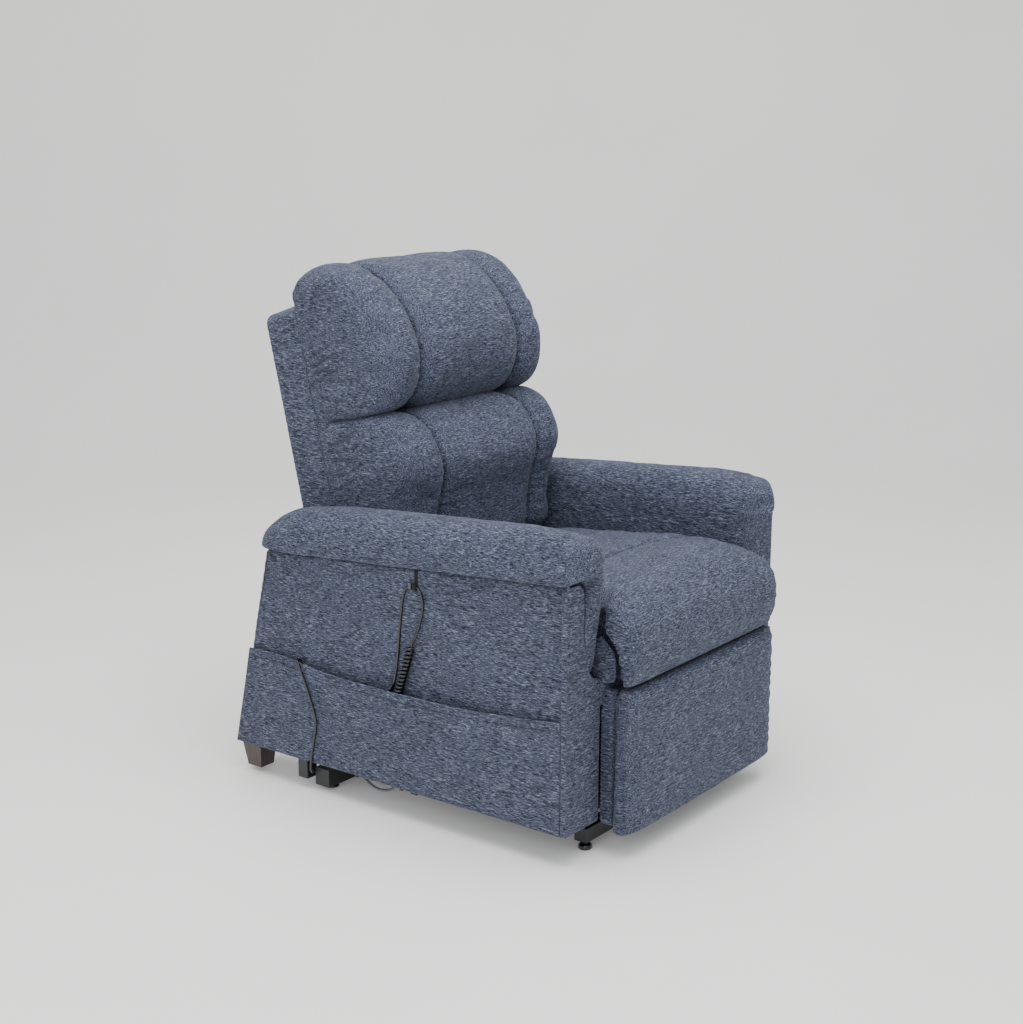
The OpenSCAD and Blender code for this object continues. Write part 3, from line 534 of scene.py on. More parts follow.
def add_node(material: Material, kind: str, settings: dict[str, Any] | None = None, **links: Any) -> Node:
    """Adds a shader node with its settings and its input links or values.

    Args:
        material: the material that gets the node.
        kind: the node's type name, without the ShaderNode prefix.
        settings: attributes of the node to set.
        **links: input name (underscores for spaces) or "i" plus an index, to a socket or a value.

    Returns:
        The new node.
    """
    tree = material.node_tree
    node = tree.nodes.new("ShaderNode" + kind)
    for key, value in (settings or {}).items():
        setattr(node, key, value)
    for key, value in links.items():
        if key[0] == "i" and key[1:].isdigit():
            socket = node.inputs[int(key[1:])]
        else:
            socket = node.inputs[key.replace("_", " ")]
        if isinstance(value, bpy.types.NodeSocket):
            tree.links.new(value, socket)
        else:
            socket.default_value = value
    return node


def new_material(name: str) -> tuple[Material, Node]:
    """Makes an empty material with a principled shader.

    Args:
        name: the material's name.

    Returns:
        The material and its shader node.
    """
    material = bpy.data.materials.new(name)
    material.use_nodes = True
    material.node_tree.nodes.clear()
    shader = add_node(material, "BsdfPrincipled")
    output = add_node(material, "OutputMaterial")
    material.node_tree.links.new(shader.outputs[0], output.inputs[0])
    return material, shader


def plug(material: Material, source: Any, node: Node, name: str) -> None:
    """Links a socket to a named input of a node."""
    material.node_tree.links.new(source, node.inputs[name])


def ramp(material: Material, value: Any, stops: Sequence[tuple[float, str]]) -> Any:
    """Adds a colour ramp.

    Args:
        material: the material that gets it.
        value: the socket that drives it.
        stops: (position, hex colour) pairs.

    Returns:
        The ramp's colour socket.
    """
    node = add_node(material, "ValToRGB", Fac=value)
    elements = node.color_ramp.elements
    while len(elements) < len(stops):
        elements.new(0.5)
    for element, (position, code) in zip(elements, stops):
        element.position = position
        element.color = linear(code)
    return node.outputs["Color"]


@dataclass(frozen=True)
class Chenille:
    """Chenille upholstery cloth: soft tufted yarn in slate blue, slubbed with navy and pale grey-blue.

    The pile scatters light widely, so it is rough with a soft sheen and almost no gloss.
    """

    name: str
    dark: str = "#171a26"
    base: str = "#454a5b"
    light: str = "#7c8192"
    slub_length: float = 12.0  # mm; real slubs are 6 to 12 mm, drawn a little longer to show
    slub_width: float = 1.9  # mm; real yarn is 1.5 mm thick, drawn coarser to show
    patch_length: float = 48.0  # mm; the pile lies a little differently from patch to patch
    pile: float = 1.6  # mm; height of the pile
    sheen: float = 0.16

    def build(self) -> Material:
        """Builds the cloth.

        Returns:
            The material.
        """
        material, shader = new_material(self.name)
        weave = add_node(material, "Attribute", {"attribute_name": "weave"}).outputs["Vector"]

        def cloud(length: float, width: float, seed: float, detail: float) -> Any:
            """Makes noise drawn out along the weft.

            Args:
                length, width: size of one patch in mm.
                seed: offset that sets this noise apart from the others.
                detail: octaves of finer noise.

            Returns:
                The noise's output socket.
            """
            at = add_node(material, "Mapping", Vector=weave, Scale=(MM / length, MM / width, MM / width),
                          Location=(seed, seed * 0.37, seed * 0.11))
            noise = add_node(material, "TexNoise", Scale=1.0, Detail=detail, Roughness=0.6,
                             Vector=at.outputs[0])
            return noise.outputs["Fac"]

        slub = cloud(self.slub_length, self.slub_width, 3.1, 2.0)
        fleck = cloud(self.slub_length * 0.45, self.slub_width * 0.6, 8.7, 1.0)
        patch = cloud(self.patch_length, self.patch_length / 3, 5.3, 1.0)
        slubs = add_node(material, "Math", {"operation": "MULTIPLY"}, i0=slub, i1=0.66).outputs[0]
        mixed = add_node(material, "Math", {"operation": "MULTIPLY_ADD"}, i0=fleck, i1=0.42, i2=slubs)
        yarn = mixed.outputs[0]
        colour = ramp(material, yarn, [(0.43, self.dark), (0.52, self.base), (0.585, self.base),
                                       (0.70, self.light)])
        tone = add_node(material, "MapRange", Value=patch, i1=0.3, i2=0.7, i3=0.86, i4=1.12).outputs[0]
        grey = add_node(material, "CombineColor", Red=tone, Green=tone, Blue=tone).outputs[0]
        toned = add_node(material, "Mix", {"data_type": "RGBA", "blend_type": "MULTIPLY"}, i0=1.0, i6=colour,
                         i7=grey)
        plug(material, toned.outputs[2], shader, "Base Color")
        bump = add_node(material, "Bump", Strength=0.6, Distance=self.pile / MM, Height=yarn)
        plug(material, bump.outputs[0], shader, "Normal")
        shader.inputs["Roughness"].default_value = 0.92
        shader.inputs["Specular IOR Level"].default_value = 0.18
        shader.inputs["Sheen Weight"].default_value = self.sheen
        shader.inputs["Sheen Roughness"].default_value = 0.45
        shader.inputs["Sheen Tint"].default_value = linear("#a9aebb")
        return material


@dataclass(frozen=True)
class Plain:
    """A moulded, coated or drawn finish: one colour varied by cloudy tone, with its own grain and gloss."""

    name: str
    colour: str
    roughness: float
    metallic: float = 0.0
    ior: float = 1.5
    grain: float = 1.2  # mm between bumps of the surface
    depth: float = 0.05  # mm
    tone: float = 0.10
    coat: float = 0.0

    def build(self) -> Material:
        """Builds the finish.

        Returns:
            The material.
        """
        material, shader = new_material(self.name)
        where = add_node(material, "TexCoord").outputs["Object"]
        scaled = add_node(material, "Mapping", Vector=where, Scale=(MM, MM, MM)).outputs[0]
        cloud = add_node(material, "TexNoise", Vector=scaled, Scale=1 / 35.0, Detail=3.0)
        fine = add_node(material, "TexNoise", Vector=scaled, Scale=1 / self.grain, Detail=2.0)
        base = Vector(linear(self.colour)[:3])

        def shifted(k: float) -> str:
            """Makes the base colour lighter or darker.

            Args:
                k: factor on its linear light.

            Returns:
                The colour as hex.
            """
            back = [min(1.0, max(0.0, c * k)) for c in base]
            srgb = [c * 12.92 if c <= 0.0031308 else 1.055 * c ** (1 / 2.4) - 0.055 for c in back]
            return "#" + "".join(f"{round(c * 255):02x}" for c in srgb)

        swing = 1.6 * self.tone
        stops = [(0.32, shifted(1 - swing)), (0.5, self.colour), (0.7, shifted(1 + swing))]
        colour = ramp(material, cloud.outputs["Fac"], stops)
        plug(material, colour, shader, "Base Color")
        rough = add_node(material, "MapRange", Value=cloud.outputs["Fac"], i1=0.3, i2=0.7,
                         i3=max(0.02, self.roughness - 0.05), i4=min(1.0, self.roughness + 0.07))
        plug(material, rough.outputs[0], shader, "Roughness")
        bump = add_node(material, "Bump", Strength=0.6, Distance=self.depth / MM, Height=fine.outputs["Fac"])
        plug(material, bump.outputs[0], shader, "Normal")
        shader.inputs["Metallic"].default_value = self.metallic
        if not self.metallic:
            shader.inputs["IOR"].default_value = self.ior
        shader.inputs["Coat Weight"].default_value = self.coat
        shader.inputs["Coat Roughness"].default_value = 0.12
        return material


@dataclass(frozen=True)
class Timber:
    """Wood with growth rings along its length: sawn hardwood or a dark satin stain."""

    name: str
    early: str
    late: str
    roughness: float
    along: int = 0  # axis of the grain
    ring_width: float = 9.0  # mm; real rings are 2 to 5 mm, drawn wider to show
    coat: float = 0.0

    def build(self) -> Material:
        """Builds the wood.

        Returns:
            The material.
        """
        material, shader = new_material(self.name)
        where = add_node(material, "TexCoord").outputs["Object"]
        scale = [MM / self.ring_width] * 3
        scale[self.along] = MM / (20 * self.ring_width)  # the grain runs twenty times longer than it is wide
        grain_at = add_node(material, "Mapping", Vector=where, Scale=tuple(scale)).outputs[0]
        grain = add_node(material, "TexNoise", Vector=grain_at, Scale=1.0, Detail=5.0, Roughness=0.6,
                         Distortion=0.4)
        pores = add_node(material, "TexNoise", Vector=grain_at, Scale=7.0, Detail=2.0)
        colour = ramp(material, grain.outputs["Fac"], [(0.35, self.late), (0.6, self.early)])
        plug(material, colour, shader, "Base Color")
        bump = add_node(material, "Bump", Strength=0.5, Distance=0.0002, Height=pores.outputs["Fac"])
        plug(material, bump.outputs[0], shader, "Normal")
        shader.inputs["Roughness"].default_value = self.roughness
        shader.inputs["Coat Weight"].default_value = self.coat
        shader.inputs["Coat Roughness"].default_value = 0.25
        return material


class Finish(Enum):
    """The chair's finishes, each named for what the real one is."""

    # woven from tufted yarn: matt, flecked and soft at its edges
    CHENILLE = Chenille("slubbed_chenille")
    # sprayed and baked polyester powder: satin black with a faint orange peel
    POWDER_COAT = Plain("black_powder_coat", "#1b1c1e", 0.48, ior=1.5, grain=0.9, depth=0.06)
    # bright zinc on steel: pale grey with soft, blurred reflections
    ZINC = Plain("zinc_plated_steel", "#b9bcc0", 0.3, metallic=1.0, grain=0.5, depth=0.01, tone=0.06)
    # drawn tube: a little brighter and smoother than the zinc
    ALUMINIUM = Plain("drawn_aluminium", "#c2c5c9", 0.28, metallic=1.0, grain=0.4, depth=0.01, tone=0.04)
    # moulded in a fine-textured tool: dark, with a dull sheen
    ABS = Plain("moulded_abs", "#1c1d20", 0.42, ior=1.53, grain=0.7, depth=0.03, tone=0.06)
    # moulded: mid grey and slightly waxy
    CLIP = Plain("moulded_nylon", "#4b4b4d", 0.45, ior=1.53, grain=0.8, depth=0.02)
    # moulded silicone keys: pale and rubbery
    BUTTON = Plain("button_silicone", "#c9ccd0", 0.55, ior=1.43, grain=0.6, depth=0.02)
    # extruded: near black, glossy enough for a thin highlight along the cord
    PVC = Plain("black_pvc_sheath", "#08080a", 0.22, ior=1.53, grain=0.6, depth=0.008, tone=0.03, coat=0.25)
    # extruded, with chalkier filler: grey and less glossy
    GREY_PVC = Plain("grey_pvc_sheath", "#4d5055", 0.35, ior=1.53, grain=0.6, depth=0.01, tone=0.04)
    # turned and rubbed by the floor: black with a clear highlight
    GLIDE = Plain("polished_nylon_glide", "#0b0b0d", 0.12, ior=1.53, grain=1.0, depth=0.004, tone=0.03,
                  coat=0.4)
    # woven strap: dull black with a coarse grain
    WEBBING = Plain("woven_webbing", "#0e0e10", 0.85, ior=1.5, grain=0.9, depth=0.25, tone=0.08)
    # sawn and left bare: pale brown, dry, with open pores
    HARDWOOD = Timber("sawn_hardwood", "#c9a172", "#a87d4e", 0.62)
    # stained dark and lacquered: the grain barely shows under a satin coat
    ESPRESSO = Timber("espresso_stained_wood", "#3a231b", "#1d110d", 0.38, along=2, coat=0.3)
    # twisted and waxed: navy with a faint sheen
    THREAD = Plain("bonded_thread", "#161a26", 0.7, grain=0.8, depth=0.05)
    # drawn and oiled wire: mid grey metal
    SPRING = Plain("drawn_spring_wire", "#7d8084", 0.38, metallic=1.0, grain=0.5, depth=0.01)


class Wardrobe:
    """Builds each finish once and dresses pieces with it."""

    def __init__(self) -> None:
        """Starts with no finish built."""
        self._built: dict[Finish, Material] = {}

    def get(self, finish: Finish) -> Material:
        """The finish's material, built on first use."""
        if finish not in self._built:
            self._built[finish] = finish.value.build()
        return self._built[finish]

    def dress(self, piece: Object, finish: Finish) -> Object:
        """Gives a piece one finish.

        Args:
            piece: the object.
            finish: what it is made of.

        Returns:
            The same object.
        """
        piece.data.materials.clear()
        piece.data.materials.append(self.get(finish))
        return piece


WARDROBE = Wardrobe()


def upholster(piece: Object, body: str, *nodes: str, weft: Weft = Weft.ACROSS,
              padded: float | None = 0.7) -> Object:
    """Finishes a cloth piece: its weave, its material, its body and the solids that it stands for.

    Args:
        piece: the mesh object.
        body: the body that it rides on.
        *nodes: the solids that it replaces.
        weft: which way its weft runs.
        padded: how full the piece is, or None where it isn't a pad; not used.

    Returns:
        The same object.
    """
    lay_weave(piece, weft)
    WARDROBE.dress(piece, Finish.CHENILLE)
    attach(piece, body)
    if nodes:
        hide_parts(*nodes)
    LOG.info("%s: %d vertices on %s", piece.name, len(piece.data.vertices), body)
    return piece


def stitch(name: str, path: Array, body: str, length: float = 4.6, gap: float = 1.2,
           radius: float = 0.75) -> Object:
    """Lays a row of thread stitches along a line, each a small capsule.

    Args:
        name: the piece's name.
        path: the line, in chair millimetres.
        body: the body that it rides on.
        length: length of one stitch, in mm.
        gap: space between stitches, in mm.
        radius: the thread's radius, in mm.

    Returns:
        The row as one object.
    """
    path = np.asarray(path, float)
    run = distance_along(path)

    def at(t: Any) -> Array:
        """Points at distances along the line."""
        return np.stack([np.interp(t, run, path[:, k]) for k in range(3)], axis=-1)

    starts = np.arange(gap / 2, run[-1] - length, length + gap)
    sides, profile = 6, ((0.0, 0.45), (0.2, 1.0), (0.8, 1.0), (1.0, 0.45))
    angles = np.arange(sides) * 2 * math.pi / sides
    points, faces = [], []
    for start in starts:
        a, b = at(start), at(start + length)
        way = (b - a) / np.linalg.norm(b - a)
        u = np.cross(way, [0.31, 0.17, 0.93])
        u /= np.linalg.norm(u)
        v = np.cross(way, u)
        base = len(points)
        for share, size in profile:
            mid = a + (b - a) * share
            points += [mid + radius * size * (u * math.cos(q) + v * math.sin(q)) for q in angles]
        last = base + sides * (len(profile) - 1)
        faces += [(ring + k, ring + (k + 1) % sides, ring + sides + (k + 1) % sides, ring + sides + k)
                  for ring in range(base, last, sides) for k in range(sides)]
        faces += [tuple(base + k for k in reversed(range(sides))), tuple(last + k for k in range(sides))]
    piece = new_object(name, place(np.array(points)), faces)
    WARDROBE.dress(piece, Finish.THREAD)
    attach(piece, body)
    LOG.info("%s: %d stitches", name, len(starts))
    return piece


# ------------------------------------------------------------------------------ studio
@dataclass
class Studio:
    """Floor, soft light and the camera."""

    camera_at: tuple[float, float, float] = (-3.0106, -2.2306, 1.4707)
    azimuth: float = -53.2327
    elevation: float = 13.1993
    roll: float = 0.1471
    focal_px: float = 1750.01
    picture: tuple[int, int] = (1023, 1024)

    def build(self) -> None:
        """Makes the camera, the floor and the lights."""
        self._camera()
        self._floor()
        self._lights()

    def _camera(self) -> None:
        """Sets the camera at the viewing angle, with no depth of field."""
        data = bpy.data.cameras.new("camera")
        cam = bpy.data.objects.new("camera", data)
        bpy.context.scene.collection.objects.link(cam)
        a, e, r = (math.radians(v) for v in (self.azimuth, self.elevation, self.roll))
        back = Vector((math.sin(a) * math.cos(e), -math.cos(a) * math.cos(e), math.sin(e)))
        right = (-back).cross(Vector((0, 0, 1))).normalized()
        up = right.cross(-back)
        right, up = right * math.cos(r) + up * math.sin(r), up * math.cos(r) - right * math.sin(r)
        turn = Matrix((right, up, back)).transposed()
        cam.matrix_world = Matrix.Translation(self.camera_at) @ turn.to_4x4()
        data.sensor_width = 36.0
        data.lens = self.focal_px * 36.0 / max(self.picture)
        data.clip_start, data.clip_end = 0.05, 60.0
        bpy.context.scene.camera = cam

    def _floor(self) -> None:
        """Makes a plain pale floor that curves up far behind the chair."""
        side, steps = 9.0, 24
        bend, radius, top = 3.0, 1.6, 7.0
        profile = [(-side, 0.0), (bend, 0.0)]
        profile += [(bend + radius * math.sin(t), radius * (1 - math.cos(t)))
                    for t in np.linspace(0.05, math.pi / 2, steps)]
        profile += [(bend + radius, top)]
        turn = math.radians(self.azimuth)
        along = Vector((math.cos(turn), math.sin(turn), 0))
        away = Vector((-math.sin(turn), math.cos(turn), 0))
        points = [tuple(away * d + along * s + Vector((0, 0, h))) for d, h in profile for s in (-side, side)]
        faces = [(2 * i, 2 * i + 1, 2 * i + 3, 2 * i + 2) for i in range(len(profile) - 1)]
        floor = new_object("studio_floor", np.array(points), faces)
        material, shader = new_material("painted_floor")
        where = add_node(material, "TexCoord").outputs["Object"]
        cloud = add_node(material, "TexNoise", Vector=where, Scale=1.3, Detail=2.0)
        paint = ramp(material, cloud.outputs["Fac"], [(0.3, "#f1f0ed"), (0.7, "#f5f4f1")])
        plug(material, paint, shader, "Base Color")
        shader.inputs["Roughness"].default_value = 0.7
        shader.inputs["Emission Color"].default_value = linear("#f5f4f1")
        shader.inputs["Emission Strength"].default_value = 0.1  # a sweep lit by lamps of its own
        floor.data.materials.append(material)

    def _lights(self) -> None:
        """Hangs wide soft lights above and beside the chair, over an even sky."""
        world = bpy.data.worlds.new("sky")
        bpy.context.scene.world = world
        world.use_nodes = True
        sky = world.node_tree.nodes["Background"]
        sky.inputs[0].default_value = linear("#eef1f5")
        sky.inputs[1].default_value = 0.85
        lamps = (("ceiling", (-0.4, -0.2, 3.4), (0, 0, 0.4), 3.2, 130.0),
                 ("window", (-3.4, -1.1, 1.9), (0, 0, 0.5), 2.2, 40.0),
                 ("front", (-0.5, -2.1, 3.5), (0, 0.12, 0.75), 2.3, 29.0))
        for name, at, aim, size, power in lamps:
            data = bpy.data.lights.new(name, "AREA")
            data.shape, data.size, data.size_y, data.energy = "RECTANGLE", size, size, power
            lamp = bpy.data.objects.new(name, data)
            bpy.context.scene.collection.objects.link(lamp)
            lamp.location = at
            lamp.rotation_mode = "QUATERNION"
            lamp.rotation_quaternion = (Vector(aim) - Vector(at)).to_track_quat("-Z", "Y")


# ------------------------------------------------------------------------------ hand control's cord
@dataclass
class HandCord:
    """The hand control's cord: curls that rise from the pocket, a loop through the tab, the lead to the box.

    The harness cable of the base is laid with it.
    """

    diameter: float = 5.5
    curl_diameter: float = 19.0
    curls: int = 15
    points_per_curl: int = 16
    cable_diameter: float = 6.0
    cable_x: float = -370.0
    gland: tuple[float, float, float] = (-382.5, 432.0, 251.0)
    curl_top: tuple[float, float, float] = (-398.5, 388.0, 388.0)

    def _curl_path(self) -> Array:
        """Winds the curls' centreline.

        Returns:
            Its points, in chair millimetres.
        """
        low = np.array(self.gland) + [0, 0, self.diameter]
        top = np.array(self.curl_top)
        axis = np.array([0, top[1] - low[1], top[2] - low[2]])
        axis /= np.linalg.norm(axis)
        a = np.array([1.0, 0, 0])
        b = np.cross(axis, a)
        radius = (self.curl_diameter - self.diameter) / 2
        rising = 34  # mm; height over which the curls come out of the pocket
        count = self.curls * self.points_per_curl
        points = [np.array(self.gland), np.array(self.gland) + [0, 0, self.diameter * 0.6]]
        for i in range(1, count + 1):
            t, q = i / (count + 1), 2 * math.pi * i / self.points_per_curl
            p = low + (top - low) * t
            rise = min(1.0, max(0.0, (p[2] - self.gland[2]) / rising))
            p[0] = low[0] + (top[0] - low[0]) * rise * rise * (3 - 2 * rise)
            grown = min(1.0, min(i, count - i) / (0.62 * self.points_per_curl))
            points.append(p + radius * grown * (a * math.cos(q) + b * math.sin(q)))
        return np.array(points + [top, top + axis * self.diameter])

    def _lead_path(self) -> Array:
        """Lists the plain lead's centreline.

        Returns:
            Its points from the curls to the box, in chair millimetres.
        """
        loop = [[-396, 377, 412], [-393, 368, 442], [-391.8, 362, 472], [-391.8, 363, 492],
                [-392.3, 368, 505], [-392.7, 377, 512.8], [-392.7, 388, 514], [-392.6, 398, 512],
                [-391.5, 409, 500], [-391.3, 416, 478], [-391.3, 421, 445], [-391.3, 425, 410],
                [-391.3, 430, 360], [-391.4, 435, 325], [-391.4, 441, 300]]
        in_pocket = [[-389.5, 452, 278], [-386, 492, 256], [-382, 540, 248], [-381, 600, 248],
                     [-383, 650, 262], [-389, 685, 282], [-397, 702, 296]]
        to_box = [[-406, 702, 299.5], [-411, 695, 292], [-411.5, 684, 272], [-410, 670, 238],
                  [-408.5, 657, 200], [-406, 652, 165], [-404.5, 660, 125], [-404, 667, 95],
                  [-403.5, 671, 72], [-401, 675, 56], [-394, 679, 45], [-386, 684, 40.5], [-383, 688, 40],
                  [-383, 691, 40], [-383, 694, 40]]
        return np.array(loop + in_pocket + to_box)

    def build(self) -> None:
        """Makes the cord as one curve and the harness cable as another."""
        self._hand_cord()
        self._harness()

    def _hand_cord(self) -> None:
        """Lays the hand control's cord."""
        curl = self._curl_path()
        lead = spline(np.vstack([curl[-1:], self._lead_path()]), 180, closed=False)
        path = place(np.vstack([curl, lead[1:]]))
        cord = tube_curve("hand_control_cord", path, self.diameter / 2 / MM)
        WARDROBE.dress(cord, Finish.PVC)
        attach(cord, "chair")
        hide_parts("handset_cord", "handset_curl")

    def _harness(self) -> None:
        """Lays the grey harness cable under the seat."""
        run = [[694, 61], [640, 61], [580, 61], [572, 61], [560, 61], [549, 56.5], [528, 44], [503, 39],
               [478, 44], [457, 56.5], [446, 61], [434, 61], [422, 61], [412, 61]]
        path = place(spline([[self.cable_x, y, z] for y, z in run], 90, closed=False))
        cable = tube_curve("harness_lead", path, self.cable_diameter / 2 / MM)
        WARDROBE.dress(cable, Finish.GREY_PVC)
        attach(cable, "chair")
        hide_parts("harness_cable")


def tube_curve(name: str, path: Array, radius: float) -> Object:
    """Makes a round tube as a curve of one open spline.

    Args:
        name: the piece's name.
        path: centreline points in metres.
        radius: the tube's radius in metres.

    Returns:
        The curve object.
    """
    data = bpy.data.curves.new(name, "CURVE")
    data.dimensions, data.use_fill_caps = "3D", True
    data.bevel_depth, data.bevel_resolution = radius, 5
    line = data.splines.new("POLY")
    line.points.add(len(path) - 1)
    for point, at in zip(line.points, path):
        point.co = (*at, 1.0)
    line.use_smooth = True
    piece = bpy.data.objects.new(name, data)
    bpy.context.scene.collection.objects.link(piece)
    return piece


class Side(Enum):
    """Which side of the sitter: the sign of its x."""

    LEFT = 1
    RIGHT = -1


# ------------------------------------------------------------------------------ back
@dataclass
class BackFrame:
    """The leaning frame of the back: x across, n forward from its outer rear line, s up its slope."""

    lean: float = 13.3
    foot: tuple[float, float] = (804.0, 594.0)

    def to_chair(self, points: Array) -> Array:
        """Turns places in the back into places in the chair.

        Args:
            points: array (..., 3) of x, n and s.

        Returns:
            The same points as x, y and z, in chair millimetres.
        """
        a = math.radians(self.lean)
        x, n, s = points[..., 0], points[..., 1], points[..., 2]
        y = self.foot[0] - n * math.cos(a) + s * math.sin(a)
        z = self.foot[1] + n * math.sin(a) + s * math.cos(a)
        return np.stack([x, y, z], axis=-1)

    def from_part(self, points: Array) -> tuple[Array, Array, Array]:
        """Turns metres of the part's frame into places in the back.

        Args:
            points: positions, one per row.

        Returns:
            Arrays of x, n and s in mm.
        """
        a = math.radians(self.lean)
        x, y, z = chair_mm(points)
        y, z = y - self.foot[0], z - self.foot[1]
        return x, z * math.sin(a) - y * math.cos(a), z * math.cos(a) + y * math.sin(a)


@dataclass
class Pillow:
    """One channelled pillow of the back: a middle lobe and two tube-like side lobes between sewn seams."""

    name: str
    node: str
    profile: Sequence[tuple[float, float]]  # (n, s) round the pillow's middle
    lap_from: float  # height from which the ends lap over the wings
    meets: int  # side that meets the other pillow: 1 above, -1 below
    creases: Sequence[tuple[float, float, float]]  # height, slope and depth of each fold at the ends
    valley: float = 19.0  # depth of the wide valley at a channel seam
    half: float = 270.0
    channel: float = 165.0  # distance of the channel seams from the middle
    end_roll: float = 58.0
    side_lap: float = 9.0
    rear: float = 89.0
    around: int = 150
    channel_seam: Seam = Seam(9.0, 4.6, 1.4, 17.0)
    end_seam: Seam = Seam(3.6, 5.0, 2.2, 19.0)

    def _columns(self) -> Array:
        """Sets the stations across the pillow, close together at the seams and the ends.

        Returns:
            Their x, from one end to the other.
        """
        near, hem = 40, 3.0
        one = np.concatenate([np.linspace(0, self.channel - near, 20, endpoint=False),
                              np.linspace(self.channel - near, self.channel + near, 45, endpoint=False),
                              np.linspace(self.channel + near, self.half - hem, 18, endpoint=False),
                              self.half - hem + hem * np.array([0, 0.35, 0.62, 0.82, 0.94, 1.0])])
        return np.concatenate([-one[:0:-1], one])

    def _curve(self) -> tuple[Array, Array, float]:
        """Runs the pillow's middle profile.

        Returns:
            Its points (n, s), their outward normals and its mean height.
        """
        curve = spline(self.profile, self.around)
        way = np.roll(curve, -1, axis=0) - np.roll(curve, 1, axis=0)
        way /= np.linalg.norm(way, axis=1)[:, None]
        out = np.stack([way[:, 1], -way[:, 0]], axis=1)
        out *= np.sign(((curve - curve.mean(0)) * out).sum())
        return curve, out, float(curve[:, 1].mean())

    def section(self, x: float) -> Array:
        """Shapes the closed profile at one station: drawn in at the seams and rolled at the ends.

        Args:
            x: the station.

        Returns:
            Rows (x, n, s).
        """
        curve, out, mid = self._curve()
        a = abs(x)
        t = min(1.0, max(0.0, (a - self.half + self.end_roll) / self.end_roll))
        e = math.sqrt(1 - t * t)  # 1 over the lobes, 0 at the very end
        n = self.rear + (curve[:, 0] - self.rear) * (0.78 + 0.22 * e)
        share = np.where((curve[:, 1] - mid) * self.meets > 0, 0.99 + 0.01 * e, 0.88 + 0.12 * e)
        up = mid + (curve[:, 1] - mid) * share
        off = abs(a - self.channel)
        reach = fade(n - self.rear - 8, 40) * (0.34 + 0.66 * fade(n - 112, 160))
        draw = reach * (self.valley * math.exp(-off / 8.5) + 0.35 * self.valley * math.exp(-(off / 27) ** 2))
        wave = np.sin(up / 3.1 + 1.7 * np.sin(up / 21 + x / 60))
        wave *= math.exp(-off / 13) * (1 - math.exp(-off / 3))
        draw -= 1.5 * wave * fade(n - 200, 60)
        n = np.where(curve[:, 0] < self.rear + 10, self.rear, np.maximum(self.rear, n - draw * out[:, 0]))
        up = up - draw * out[:, 1]
        lap = self.side_lap * fade(n - 180, 80) * fade(up - self.lap_from, 60)
        return np.stack([x * (1 + lap / self.half), n, up], axis=1)

    def held(self, back: BackFrame) -> Callable[[Array], Array]:
        """Tells which points are sewn or lie against the wings.

        Args:
            back: the frame that it leans with.

        Returns:
            A function of points in metres.
        """
        def weights(points: Array) -> Array:
            """Holds the cloth on the seams and the rear.

            Args:
                points: positions in metres, one per row.

            Returns:
                1 where the cloth is held, falling off beside that.
            """
            x, n, _ = back.from_part(points)
            seam = np.exp(-(np.abs(np.abs(x) - self.channel) / 9) ** 2)
            return np.maximum(seam, fade(self.rear + 22 - n, 14))
        return weights

    def build(self, back: BackFrame) -> Object:
        """Makes the pillow.

        Args:
            back: the frame that it leans with.

        Returns:
            The pillow's object.
        """
        rings = np.array([self.section(x) for x in self._columns()])
        piece = loft(self.name, back.to_chair(rings), dome=2.0)
        inflate(piece, voxel=5.6, cap=6.0, held=self.held(back), seed=self.lap_from / 40)
        refine(piece)
        self._sew(piece, back)
        self._wrinkle(piece, back)
        return upholster(piece, "back", self.node, padded=0.75)

    def _sew(self, piece: Object, back: BackFrame) -> None:
        """Sews the two channel seams and the seams of the two end panels.

        Args:
            piece: the pillow.
            back: the frame that it leans with.
        """
        for x in (-self.channel, self.channel):
            line = self.section(x)
            line = line[line[:, 1] > self.rear + 25]
            line = line[np.argsort(np.arctan2(line[:, 2] - line[:, 2].mean(), line[:, 1] - self.rear))]
            sew(piece, place(back.to_chair(line)), self.channel_seam)
        ups = self.section(0.0)[:, 2]
        ups = np.linspace(ups.min() + 34, ups.max() - 50, 160)
        ns = 126 + 5 * np.sin(ups / 37)
        for x in (-self.half - 3, self.half + 3):
            line = np.stack([np.full(len(ups), x), ns, ups], axis=1)
            sew(piece, place(back.to_chair(line)), self.end_seam)

    def _wrinkle(self, piece: Object, back: BackFrame) -> None:
        """Presses the folds into the ends and a soft unevenness into the rest.

        Args:
            piece: the pillow.
            back: the frame that it leans with.
        """
        co = vertex_array(piece)
        x, n, up = back.from_part(co)
        dent = ripple(co, 95, self.lap_from / 9 + 2) * 1.6 + ripple(co, 34, 5.0) * 0.5
        end = self.half - 6
        reach = np.exp(-(np.clip(np.abs(x) - end, -70, 70) / 24) ** 2) * fade(n - 104, 14) * fade(230 - n, 60)
        for at, slope, size in self.creases:
            off = up - at - slope * (n - 150) - 3 * np.sin(n / 13 + at)
            dent -= 1.5 * size * reach * (np.exp(-(off / 3.0) ** 2) - 0.4 * np.exp(-((off - 8.0) / 5) ** 2))
        emboss(piece, dent * fade(n - self.rear - 4, 12))


